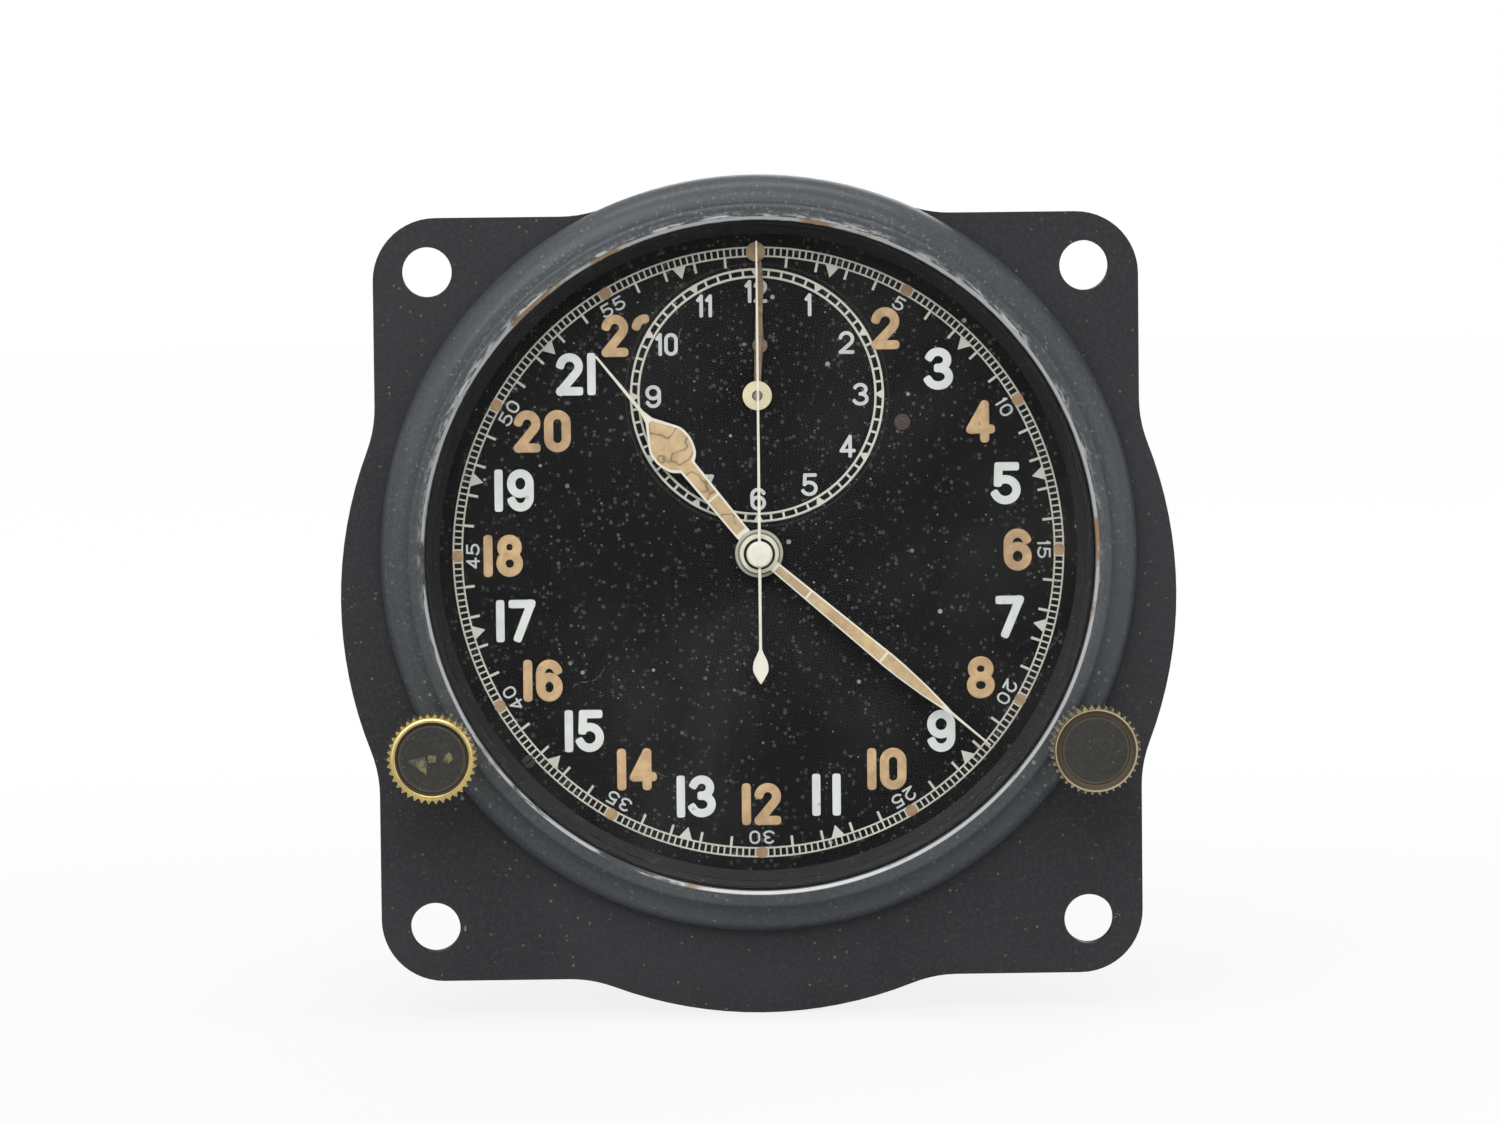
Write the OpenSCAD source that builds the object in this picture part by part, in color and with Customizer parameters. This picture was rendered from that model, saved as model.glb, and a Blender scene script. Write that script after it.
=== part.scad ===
// Panel clock for an aircraft: a 24 hour dial with a sweep seconds hand and a
// small elapsed-time dial, in a round black case behind a four-eared flange.
// The model lies in its own frame: the dial faces -Y, 12 o'clock is +Z, and the origin is the
// middle of the four panel bolts on the rear face of the flange.

/* [Flange] */
// Spacing of the panel bolt holes, both ways
hole_spacing = 62.87; // [62.4:0.01:63.6]
// Diameter of the panel bolt holes
hole_d = 4.76; // [4.2:0.02:5.2]
// Distance from the middle of a bolt hole to the straight edge of its ear
ear_edge = 5.165; // [4.2:0.005:6]
// Radius of the ear corners
ear_r = 6; // [4:0.1:8]
// How far the round lobes stand out past the case
lobe_rim = 1; // [0.6:0.1:2]
// Radius of the blend between an ear and a lobe
blend_r = 12; // [6:0.5:16]
// Thickness of the flange
flange_t = 2; // [1.6:0.1:3]

/* [Case] */
// Depth of the case behind the flange
case_depth = 34; // [30:0.5:44]
// Wall of the case
case_wall = 1.2; // [1:0.1:2]
// Room between the stem pinions and the case wall
case_gap = 1.15; // [0.6:0.05:2]
// Thickness of the back cover
cover_t = 1.5; // [1.2:0.1:2.5]
// Diameter of the raised field of the back cover
cover_field_d = 56; // [40:1:62]
// Thickness of the back gasket
back_gasket_t = 0.4; // [0.3:0.05:0.8]

/* [Dial] */
// Height of the dial axis above the middle of the panel bolts
dial_offset = 4.2; // [3.6:0.1:4.8]
// Diameter of the dial
dial_d = 62.4; // [61.6:0.1:63]
// Thickness of the dial
dial_t = 0.6; // [0.4:0.05:0.9]
// Depth of the dial face below the front of the flange
dial_sink = 0.8; // [0.4:0.1:1.4]
// Height of the elapsed-time axis above the dial axis
trip_offset = 15.1; // [14.7:0.1:15.5]

/* [Bezel and glass] */
// Wall of the collar that carries the bezel
collar_wall = 1.25; // [0.9:0.05:1.5]
// Height of the collar above the flange
collar_h = 1.6; // [1.2:0.1:2.4]
// Radial width of the bezel outside its bore
bezel_band = 3.55; // [3:0.05:4.2]
// Radius of the rounded shoulder of the bezel
shoulder_r = 2.8; // [2:0.1:2.9]
// Radial width of the raised lip outside the bore
lip_wall = 0.75; // [0.6:0.05:1]
// How far the lip reaches in over the glass
lip_overlap = 0.65; // [0.5:0.05:1.2]
// Thickness of the lip above the glass
lip_t = 1; // [0.7:0.1:1.5]
// Thickness of the glass
glass_t = 1.6; // [1.2:0.1:2.2]
// Thickness of the glass gasket
glass_gasket_t = 0.6; // [0.4:0.1:0.9]
// Thickness of the flange of the dial surround
surround_t = 1; // [0.7:0.1:1.4]
// Width of the dial's rim that the surround covers
sight_margin = 0.6; // [0.4:0.05:1]

/* [Knobs] */
// Diameter of the knobs over their reeds
knob_d = 8.4; // [7.6:0.1:9.2]
// Height of the knobs
knob_h = 4; // [3.4:0.1:5]
// Angle of the knob axes below the horizontal through the dial axis
knob_angle = 30.4; // [28:0.1:32]
// Number of reeds round a knob
reed_count = 38; // [24:1:48]
// Depth of the reeds
reed_depth = 0.26; // [0.15:0.01:0.35]
// Diameter of the dark face let into a knob
knob_face_d = 6.45; // [5.4:0.05:6.8]
// Depth of the knob's rim in front of its dark face
rim_depth = 0.35; // [0.2:0.05:0.6]
// Radius of the knob stems
stem_r = 1; // [0.8:0.05:1.1]
// Outer radius of the stem bushes
bush_r = 2.1; // [1.8:0.05:2.2]
// Travel of both knobs
knob_travel = 2; // [1.5:0.1:2.2]

/* [Hands] */
// Room from the tip of the hour hand to the edge of the dial
hour_hand_room = 6.7; // [5:0.1:9]
// Room from the tip of the minute hand to the edge of the dial
minute_hand_room = 2.4; // [1.8:0.1:5]
// Room from the tip of the sweep hand to the edge of the dial
sweep_hand_room = 1.3; // [1.1:0.1:3]
// Length of the sweep hand's tail
sweep_tail_len = 12.4; // [10:0.1:14]
// Length of the elapsed-minute hand
trip_minute_len = 13.2; // [11:0.1:13.6]
// Length of the elapsed-hour hand
trip_hour_len = 7.6; // [6:0.1:9]
// Hours that the hour hand shows on the 24 hour dial
hours_shown = 21.4; // [0:0.1:23.9]
// Minutes that the minute hand shows
minutes_shown = 21.7; // [0:0.1:59.9]

/* [Movement] */
// Radius of the front plate
front_plate_r = 29.5; // [29:0.1:30.5]
// Radius of the rear plate
rear_plate_r = 28; // [27.6:0.1:29]
// Thickness of both plates
plate_t = 2; // [1.6:0.1:2.4]
// Distance between the plates
plate_gap = 8; // [7.8:0.1:9]
// Room between the dial and the front plate
under_dial_gap = 4; // [3.9:0.1:5]
// Radius of the pillars between the plates
pillar_r = 2; // [1.6:0.1:2.4]
// Radius of the balance rim
balance_r = 6.4; // [5.6:0.1:6.8]
// Number of coils of the mainspring
mainspring_turns = 8; // [5:1:10]
// Number of coils of the balance spring
hairspring_turns = 6; // [4:1:8]

/* [Hidden] */
$fn = 96;

// Clearances and small fits
slip = 0.05;
run_fit = 0.03;
press_gap = 0.01;
shake = 0.1;
cut = 1;

// Colours
black_paint = "#2c2c2e";
bezel_grey = "#45484a";
brass = "#b5975a";
gilt = "#a8893f";
steel = "#9a9ca0";
dark_face = "#2e2d22";
ruby = "#a03048";
gasket_black = "#2e2924";
surround_grey = "#3a3a3c";
dial_black = "#1d1c1c";
rivet_brown = "#6e4a34";
blued = "#5a6a8c";
spring_steel = "#55606a";
white_paint = "#e6e4da";

// Levels from the flange rear face, positive towards the viewer
dial_front = flange_t - dial_sink;
dial_back = dial_front - dial_t;
front_plate_front = dial_back - under_dial_gap;
front_plate_back = front_plate_front - plate_t;
rear_plate_front = front_plate_back - plate_gap;
rear_plate_back = rear_plate_front - plate_t;
collar_top = flange_t + collar_h;
surround_top = collar_top + surround_t;
glass_back = surround_top + glass_gasket_t;
glass_front = glass_back + glass_t;
lip_top = glass_front + lip_t;
knob_clear = 0.5;
knob_back = lip_top + knob_travel + knob_clear;
knob_front = knob_back + knob_h;
face_t = 0.6;
stem_top = knob_front - rim_depth - face_t;
cover_front = -case_depth - back_gasket_t;
cover_back = cover_front - cover_t;

// Radii about the dial axis
dial_edge_gap = 0.2;
sight_r = dial_d / 2 - sight_margin;
hour_hand_len = dial_d / 2 - hour_hand_room;
minute_hand_len = dial_d / 2 - minute_hand_room;
sweep_hand_len = dial_d / 2 - sweep_hand_room;
opening_r = dial_d / 2 + dial_edge_gap;
collar_r = opening_r + collar_wall;
bore_r = collar_r + slip;
glass_room = 0.15;
glass_r = bore_r - glass_room;
lip_r = glass_r - lip_overlap;
bezel_r = bore_r + bezel_band;
stem_fit = 0.04;
stem_bore_r = stem_r + stem_fit;
notch_room = 0.3;
notch_r = bush_r + notch_room;

// Axes in the plane of the dial
function polar(d, a) = d * [cos(a), sin(a)];
function angle_of(p, q) = atan2(q[1] - p[1], q[0] - p[0]);
// Point at distance rp from p and rq from q, on the right of the way from p to q
function meet(p, q, rp, rq) =
    let (d = norm(q - p), t = (q - p) / d, a = (rp * rp - rq * rq + d * d) / (2 * d))
    p + a * t + sqrt(rp * rp - a * a) * [t[1], -t[0]];
dial_axis = [0, dial_offset];
trip_axis = dial_axis + [0, trip_offset];
left_stem = dial_axis + polar(bezel_r, 180 + knob_angle);
right_stem = dial_axis + polar(bezel_r, -knob_angle);
plate_drop = 2.4;
plate_axis = dial_axis - [0, plate_drop];

// Teeth: module, counts and shares of the module and the pitch
addendum = 0.85;
dedendum = 1.15;
wheel_root = 0.25;
wheel_tip = 0.1;
leaf_root = 0.21;
leaf_tip = 0.12;
most_leaves = 14;
barrel_teeth = 84;
centre_leaves = 12;
barrel_module = 0.28;
centre_teeth = 80;
third_leaves = 10;
centre_module = 0.22;
third_teeth = 75;
fourth_leaves = 10;
third_module = 0.2;
fourth_teeth = 80;
escape_leaves = 8;
fourth_module = 0.18;
escape_teeth = 15;
escape_r = 3.6;
cannon_leaves = 12;
minute_teeth = 48;
minute_module = 0.24;
minute_leaves = 8;
hour_teeth = 48;
motion_distance = (cannon_leaves + minute_teeth) * minute_module / 2;
hour_module = 2 * motion_distance / (minute_leaves + hour_teeth);
stem_leaves = 12;
ratchet_teeth = 42;
winding_module = 0.35;
setting_leaves = 12;
sweep_leaves = 8;
idler_teeth = 64;
idler_leaves = 8;
trip_teeth = 60;
trip_leaves = 10;
trip_motion_teeth = 30;
trip_motion_leaves = 8;
trip_hour_teeth = 32;
trip_module = 0.24;
trip_distance = (trip_leaves + trip_motion_teeth) * trip_module / 2;

function pitch_r(n, m) = n * m / 2;
function tip_r(n, m) = pitch_r(n, m) + addendum * m;
function centres(n1, n2, m) = (n1 + n2) * m / 2;
// Phase of a wheel of n_to teeth at angle a from a wheel of n_from teeth with a given phase
function mesh_phase(phase, n_from, n_to, a) =
    let (pitch = 360 / n_from, off = (a - phase) - pitch * floor((a - phase) / pitch))
    a + 180 + off * n_from / n_to + 180 / n_to;

// Places of the movement's axes
barrel_axis = dial_axis + polar(centres(barrel_teeth, centre_leaves, barrel_module), 215);
third_axis = dial_axis + polar(centres(centre_teeth, third_leaves, centre_module), -25);
fourth_axis = third_axis + polar(centres(third_teeth, fourth_leaves, third_module), -80);
escape_axis = fourth_axis + polar(centres(fourth_teeth, escape_leaves, fourth_module), -120);
lever_way = 190;
lever_to_escape = 4.6;
lever_to_balance = 5.6;
lever_axis = escape_axis + polar(lever_to_escape, lever_way);
balance_axis = lever_axis + polar(lever_to_balance, lever_way);
minute_axis = dial_axis - [motion_distance, 0];
trip_motion_axis = trip_axis + [trip_distance, 0];
idler_axis = meet(trip_axis, dial_axis, centres(idler_leaves, trip_teeth, trip_module),
    centres(sweep_leaves, idler_teeth, trip_module));
// Idle wheels are as large as their span needs
span_teeth = 1;
winding_teeth = ceil((norm(barrel_axis - left_stem)
    - centres(stem_leaves, ratchet_teeth, winding_module)) / winding_module) + span_teeth;
winding_axis = meet(left_stem, barrel_axis, centres(stem_leaves, winding_teeth, winding_module),
    centres(winding_teeth, ratchet_teeth, winding_module));
setting_teeth = ceil((norm(minute_axis - left_stem)
    - centres(minute_teeth, setting_leaves, minute_module)) / minute_module) + span_teeth;
setting_axis = meet(left_stem, minute_axis,
    centres(setting_leaves, setting_teeth, minute_module),
    centres(setting_teeth, minute_teeth, minute_module));
pillar_axes = [for (a = [40, 140, 235, -25]) plate_axis + polar(rear_plate_r - 2.5, a)];
cock_foot = balance_axis + polar(12.7, -20);
bridge_feet = [dial_axis + [-14.3, 8.8], dial_axis + [13.5, 10.1]];
reset_axis = dial_axis + [20.5, 0.1];
click_axis = barrel_axis + polar(9.9, 115);
yoke_reach = 5.5;
yoke_pin = left_stem + polar(yoke_reach, angle_of([0, 0], left_stem) - 90);
dial_foot_axes = [dial_axis + [13.9, 12.4], dial_axis + [-22, 4], dial_axis + [12, -23]];

// Case size follows the stems
stem_pinion_r = tip_r(stem_leaves, winding_module);
case_in_r = norm(right_stem) + stem_pinion_r + case_gap;
case_r = case_in_r + case_wall;
ear_w = hole_spacing + 2 * ear_edge;
lobe_step = 3.4;
lobe_r = max(case_r + lobe_rim, ear_w / 2 + lobe_step);
boss_r = 1.8;
boss_axes = [for (a = [17.5, 162.5, 250, 290]) polar(case_in_r - boss_r - 1.6, a)];
back_boss_r = 2.2;
back_boss_h = 6;
back_axes = [for (a = [45 : 90 : 315]) polar(case_in_r + 0.2 - back_boss_r, a)];

// Screws
screw_r = 0.95;
screw_head_r = 1.8;
screw_head_h = 1.2;
slot_w = 0.4;
slot_d = 0.5;
thread_fit = 0.05;

// Movement levels
barrel_wheel = [front_plate_back - 1.8, front_plate_back - 0.8];
drum_back = front_plate_back - 6.4;
barrel_wall = 0.7;
barrel_lid_t = 0.6;
barrel_pivot_r = 1.5;
barrel_core_r = 2.6;
centre_wheel_z = [front_plate_back - 7.4, front_plate_back - 6.8];
third_wheel_z = [front_plate_back - 3.5, front_plate_back - 3];
fourth_wheel_z = [front_plate_back - 5.5, front_plate_back - 5];
escape_wheel_z = [front_plate_back - 7.2, front_plate_back - 6.7];
leaf_over = 0.2;
rear_wheel_z = [rear_plate_back - 1.1, rear_plate_back - 0.3];
idler_wheel_z = [rear_plate_back - 1.3, rear_plate_back - 0.8];
trip_wheel_z = [rear_plate_back - 3, rear_plate_back - 2.5];
heart_z = [rear_plate_back - 4.1, rear_plate_back - 3.4];
bridge_z = [rear_plate_back - 6, rear_plate_back - 4.6];
balance_z = [rear_plate_back - 1.8, rear_plate_back - 0.8];
spring_z = [rear_plate_back - 3, rear_plate_back - 2.7];
cock_z = [rear_plate_back - 5.2, rear_plate_back - 3.8];
first_motion_z = [front_plate_front + 0.45, front_plate_front + 0.95];
second_motion_z = [front_plate_front + 1.65, front_plate_front + 2.15];

// Arbors
sweep_arbor_r = 0.35;
centre_bore_r = 0.4;
centre_arbor_r = 0.75;
cannon_r = 1.1;
cannon_fit = 0.02;
hour_pipe_r = 1.5;
trip_pipe_r = 0.9;
post_r = 0.4;
thick_arbor_r = 0.5;
thin_arbor_r = 0.4;
hub_r = 1.8;
wide_hub_r = 2.4;
small_hub_r = 1.4;
jewel_r = 1;
jewel_t = 1;
pivot_depth = 1.2;

// Hand levels above the dial
trip_hour_z = dial_front + 0.2;
trip_minute_z = dial_front + 0.55;
hour_hand_z = dial_front + 1;
minute_hand_z = dial_front + 1.8;
sweep_hand_z = dial_front + 2.7;
trip_hour_boss = [1.4, 0.2];
trip_minute_boss = [1, 0.2];
hour_boss = [2.3, 0.4];
minute_boss = [1.85, 0.4];
sweep_boss = [1.25, 0.7];
hand_t = 0.25;
trip_hand_t = 0.14;
hour_angle = -hours_shown * 15;
minute_angle = -minutes_shown * 6;

// Shapes that repeat
module panel() rotate([90, 0, 0]) children();
module at(p) translate([p[0], p[1], 0]) children();
module disc(r, z) translate([0, 0, z[0]]) cylinder(r = r, h = z[1] - z[0]);
module tube(r, bore, z) {
    difference() {
        disc(r, z);
        disc(bore, [z[0] - cut, z[1] + cut]);
    }
}
module slab(z) translate([0, 0, z[0]]) linear_extrude(z[1] - z[0]) children();
module bar(p, q, w) {
    translate(p)
        rotate(angle_of(p, q))
            translate([0, -w / 2])
                square([norm(q - p), w]);
}
function toothed(n, m, phase) =
    let (pitch = 360 / n, r = pitch_r(n, m), low = r - dedendum * m, high = r + addendum * m,
        root = (n > most_leaves ? wheel_root : leaf_root) * pitch,
        tip = (n > most_leaves ? wheel_tip : leaf_tip) * pitch)
    [for (i = [0 : n - 1])
        let (a = phase + i * pitch)
        each [polar(low, a - root), polar(high, a - tip), polar(high, a + tip),
            polar(low, a + root)]];
module gear(n, m, phase, z, bore) {
    slab(z)
        difference() {
            polygon(toothed(n, m, phase));
            circle(bore);
        }
}
// A wheel with a ring of round windows
wheel_rim = 0.7;
window_share = 0.5;
module wheel(n, m, phase, z, bore, hub) {
    rim = pitch_r(n, m) - dedendum * m - wheel_rim;
    window = (rim - hub) / 2;
    slab(z)
        difference() {
            polygon(toothed(n, m, phase));
            circle(bore);
            for (a = [0 : 72 : 288])
                translate(polar(hub + window, a))
                    circle(min(window, (hub + window) * window_share));
        }
}
// A plain arbor between the plates with a pivot at each end
module arbor(r, pivot) {
    disc(r, [rear_plate_front + shake, front_plate_back - shake]);
    disc(pivot, [rear_plate_front - pivot_depth, front_plate_back + pivot_depth]);
}
// A slotted screw with its head behind level z and its shank going forward
module screw(z, length) {
    difference() {
        union() {
            disc(screw_head_r, [z - screw_head_h, z]);
            disc(screw_r, [z - screw_head_h / 2, z + length]);
        }
        translate([-screw_head_r - cut, -slot_w / 2, z - screw_head_h - cut])
            cube([2 * (screw_head_r + cut), slot_w, slot_d + cut]);
    }
}
module screw_hole(z) disc(screw_r + thread_fit, z);
// A flat spiral strip from radius r0 to radius r1
module spiral(r0, r1, turns, strip, steps) {
    count = turns * steps;
    inner = [for (i = [0 : count])
        polar(r0 + (r1 - r0) * i / count, 360 * i / steps)];
    outer = [for (i = [count : -1 : 0])
        polar(r0 + (r1 - r0) * i / count + strip, 360 * i / steps)];
    polygon(concat(inner, outer));
}

// Outline of the flange: a circle, a rounded square and the blends between them
module flange_outline() {
    half = ear_w / 2;
    blend_y = sqrt(pow(lobe_r + blend_r, 2) - pow(half + blend_r, 2));
    blend_at = [half + blend_r, blend_y];
    circle(lobe_r, $fn = 180);
    square([ear_w, ear_w - 2 * ear_r], center = true);
    square([ear_w - 2 * ear_r, ear_w], center = true);
    for (x = [-1, 1], y = [-1, 1])
        translate([x, y] * (half - ear_r))
            circle(ear_r);
    for (turn = [0 : 90 : 270], flip = [0, 1])
        rotate(turn)
            mirror([0, flip])
                difference() {
                    polygon([[half, blend_y], blend_at * lobe_r / (lobe_r + blend_r),
                        [half - ear_r, blend_y - ear_r]]);
                    translate(blend_at)
                        circle(blend_r);
                }
}

module case_body() {
    color(black_paint)
        panel()
            difference() {
                union() {
                    slab([0, flange_t])
                        flange_outline();
                    tube(case_r, case_in_r, [-case_depth, 0]);
                    at(dial_axis)
                        disc(collar_r, [flange_t, collar_top]);
                    for (p = boss_axes)
                        at(p)
                            disc(boss_r, [front_plate_front, 0]);
                    for (p = back_axes)
                        at(p)
                            disc(back_boss_r, [-case_depth, -case_depth + back_boss_h]);
                }
                at(dial_axis)
                    disc(opening_r, [-cut, collar_top + cut]);
                for (x = [-1, 1], y = [-1, 1])
                    at([x, y] * hole_spacing / 2)
                        disc(hole_d / 2, [-cut, flange_t + cut]);
                for (p = [left_stem, right_stem])
                    at(p)
                        disc(bush_r + press_gap, [-cut, flange_t + cut]);
                for (p = boss_axes)
                    at(p)
                        screw_hole([front_plate_front - cut, flange_t / 2]);
                for (p = back_axes)
                    at(p)
                        screw_hole([-case_depth - cut, -case_depth + back_boss_h - cut]);
            }
}

field_h = 1;
module back_cover() {
    color(black_paint)
        panel()
            difference() {
                union() {
                    disc(case_r, [cover_back, cover_front]);
                    translate([0, 0, cover_back - field_h])
                        cylinder(d1 = cover_field_d - 2 * field_h, d2 = cover_field_d, h = field_h);
                }
                for (p = back_axes)
                    at(p)
                        screw_hole([cover_back - cut, cover_front + cut]);
            }
}

gasket_inset = 0.2;
module back_gasket() {
    color(gasket_black)
        panel()
            tube(case_r - gasket_inset, case_in_r, [cover_front, -case_depth]);
}

module back_screws() {
    color(steel)
        panel()
            for (p = back_axes)
                at(p)
                    rotate(30)
                        screw(cover_back, cover_t + back_gasket_t + back_boss_h - 2 * cut);
}

// Section of the bezel: a rounded band outside and a raised lip over the glass
shoulder_drop = 1.4;
corner = 0.3;
lip_chamfer = 0.6;
module bezel_section() {
    foot = glass_front - shoulder_r - shoulder_drop;
    difference() {
        union() {
            translate([bore_r, flange_t])
                square([bezel_band, foot - flange_t]);
            translate([bore_r, foot])
                square([bezel_band - shoulder_r, shoulder_r]);
            intersection() {
                translate([bezel_r - shoulder_r, foot])
                    circle(shoulder_r);
                translate([bezel_r - shoulder_r, foot])
                    square(shoulder_r);
            }
            translate([lip_r, glass_front])
                square([bore_r + lip_wall - corner - lip_r, lip_t]);
            translate([bore_r, foot])
                square([lip_wall, lip_top - corner - foot]);
            translate([bore_r + lip_wall - corner, lip_top - corner])
                circle(corner);
        }
        translate([lip_r, lip_top])
            rotate(45)
                square(lip_chamfer, center = true);
    }
}
module bezel() {
    color(bezel_grey)
        panel()
            difference() {
                at(dial_axis)
                    rotate_extrude($fn = 180)
                        bezel_section();
                for (p = [left_stem, right_stem])
                    at(p)
                        disc(notch_r, [flange_t - cut, knob_back]);
            }
}

module glass() {
    color("#c8d0d0", 0.3)
        panel()
            at(dial_axis)
                disc(glass_r, [glass_back, glass_front]);
}

module glass_gasket() {
    color(gasket_black)
        panel()
            at(dial_axis)
                tube(glass_r, lip_r, [surround_top, glass_back]);
}

// Sloping ring between the dial and the glass, with a flange on the collar
mouth_r = lip_r - 0.1;
module dial_surround() {
    color(surround_grey)
        panel()
            at(dial_axis)
                difference() {
                    union() {
                        disc(opening_r - slip, [dial_front, surround_top]);
                        disc(glass_r, [collar_top, surround_top]);
                    }
                    translate([0, 0, dial_front])
                        cylinder(r1 = sight_r, r2 = mouth_r, h = surround_top - dial_front);
                    disc(sight_r, [dial_front - cut, dial_front + press_gap]);
                    disc(mouth_r, [surround_top - press_gap, surround_top + cut]);
                }
}

dial_room = 0.2;
module dial() {
    color(dial_black)
        panel()
            difference() {
                at(dial_axis)
                    disc(dial_d / 2, [dial_back, dial_front]);
                at(dial_axis)
                    disc(hour_pipe_r + dial_room, [dial_back - cut, dial_front + cut]);
                at(trip_axis)
                    disc(trip_pipe_r + dial_room, [dial_back - cut, dial_front + cut]);
                at(dial_foot_axes[0])
                    disc(foot_head_r + press_gap, [dial_back - cut, dial_front + cut]);
            }
}

// Feet of the dial: the first is riveted through it, the others are fixed behind it
foot_r = 0.6;
foot_head_r = 0.75;
module dial_feet() {
    color(rivet_brown)
        panel() {
            at(dial_foot_axes[0]) {
                disc(foot_head_r, [dial_back, dial_front]);
                disc(foot_r, [front_plate_back, dial_back]);
            }
            for (i = [1, 2])
                at(dial_foot_axes[i])
                    disc(foot_r, [front_plate_back, dial_back]);
        }
}

// Jewelled axes with the radius of their pivots
jewel_axes = [third_axis, fourth_axis, escape_axis, lever_axis];
jewel_pivots = [0.35, 0.3, 0.25, 0.25];
balance_pivot_r = 0.25;

plate_ear_r = 2.5;
module front_plate() {
    z = [front_plate_front, front_plate_back];
    color(brass)
        panel()
            difference() {
                slab([z[1], z[0]]) {
                    at(plate_axis)
                        circle(front_plate_r);
                    for (p = boss_axes) {
                        bar(plate_axis, p, 2 * plate_ear_r);
                        at(p)
                            circle(plate_ear_r);
                    }
                }
                for (p = boss_axes)
                    at(p)
                        screw_hole([z[1] - cut, z[0] + cut]);
                at(dial_axis)
                    disc(centre_arbor_r + run_fit, [z[1] - cut, z[0] + cut]);
                at(barrel_axis)
                    disc(barrel_pivot_r + run_fit, [z[1] - cut, z[0] + cut]);
                at(trip_axis)
                    disc(sweep_arbor_r + run_fit, [z[1] - cut, z[0] + cut]);
                for (p = concat(jewel_axes, [balance_axis]))
                    at(p)
                        disc(jewel_r, [z[1] - cut, z[0] + cut]);
                for (p = dial_foot_axes)
                    at(p)
                        disc(foot_r + press_gap, [z[1] - cut, z[0] + cut]);
            }
}

roller_room = 0.6;
module rear_plate() {
    z = [rear_plate_back, rear_plate_front];
    color(brass)
        panel()
            difference() {
                at(plate_axis)
                    disc(rear_plate_r, z);
                at(dial_axis)
                    disc(centre_arbor_r + run_fit, [z[0] - cut, z[1] + cut]);
                at(barrel_axis)
                    disc(barrel_pivot_r + run_fit, [z[0] - cut, z[1] + cut]);
                at(trip_axis)
                    disc(sweep_arbor_r + run_fit, [z[0] - cut, z[1] + cut]);
                at(idler_axis)
                    disc(idler_pivot_r + run_fit, [z[0] - cut, z[1] + cut]);
                at(balance_axis)
                    disc(roller_r + roller_room, [z[0] - cut, z[1] + cut]);
                for (p = jewel_axes)
                    at(p)
                        disc(jewel_r, [z[0] - cut, z[1] + cut]);
                for (p = concat(pillar_axes, bridge_feet, [cock_foot]))
                    at(p)
                        screw_hole([z[0] - cut, z[1] + cut]);
            }
}

screw_bite = 4;
module plate_pillars() {
    color(brass)
        panel()
            for (p = pillar_axes)
                at(p)
                    difference() {
                        disc(pillar_r, [rear_plate_front, front_plate_back]);
                        screw_hole([rear_plate_front - cut, rear_plate_front + screw_bite]);
                    }
}

// Screws of the pillars, the balance cock and the bridge
module plate_screws() {
    color(blued)
        panel() {
            for (p = pillar_axes)
                at(p)
                    screw(rear_plate_back, plate_t + screw_bite - shake);
            at(cock_foot)
                screw(cock_z[0], rear_plate_front - cock_z[0]);
            for (p = bridge_feet)
                at(p)
                    screw(bridge_z[0], rear_plate_front - bridge_z[0]);
        }
}

module movement_screws() {
    color(steel)
        panel()
            for (p = boss_axes)
                at(p)
                    screw(front_plate_back, flange_t / 2 - front_plate_back - shake);
}

module jewel(pivot, z) tube(jewel_r - press_gap, pivot + run_fit, z);
module jewels() {
    color(ruby)
        panel() {
            for (i = [0 : len(jewel_axes) - 1])
                at(jewel_axes[i]) {
                    jewel(jewel_pivots[i], [front_plate_back, front_plate_back + jewel_t]);
                    jewel(jewel_pivots[i], [rear_plate_front - jewel_t, rear_plate_front]);
                }
            at(balance_axis) {
                jewel(balance_pivot_r, [front_plate_back, front_plate_back + jewel_t]);
                jewel(balance_pivot_r, [cock_z[1] - jewel_t, cock_z[1]]);
            }
        }
}

// Arm over the balance with the stud of the balance spring
stud_r = 0.5;
stud_way = 60;
hairspring_r = 4.4;
hairspring_strip = 0.12;
stud_at = balance_axis + polar(hairspring_r + hairspring_strip + shake + stud_r, stud_way);
cock_w = 4;
cock_eye_r = 2.6;
cock_foot_r = 2.8;
stud_arm_w = 1.6;
module balance_cock() {
    color(brass)
        panel()
            difference() {
                union() {
                    slab(cock_z)
                        bar(cock_foot, balance_axis, cock_w);
                    slab(cock_z)
                        bar(balance_axis, stud_at + polar(stud_arm_w / 2, stud_way), stud_arm_w);
                    at(balance_axis)
                        disc(cock_eye_r, cock_z);
                    at(cock_foot)
                        disc(cock_foot_r, [cock_z[0], rear_plate_back]);
                    at(stud_at)
                        disc(stud_r, [cock_z[0] + shake, spring_z[1]]);
                }
                at(balance_axis)
                    disc(jewel_r, [cock_z[0] - cut, cock_z[1] + cut]);
                at(cock_foot)
                    screw_hole([cock_z[0] - cut, rear_plate_back + cut]);
            }
}

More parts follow.
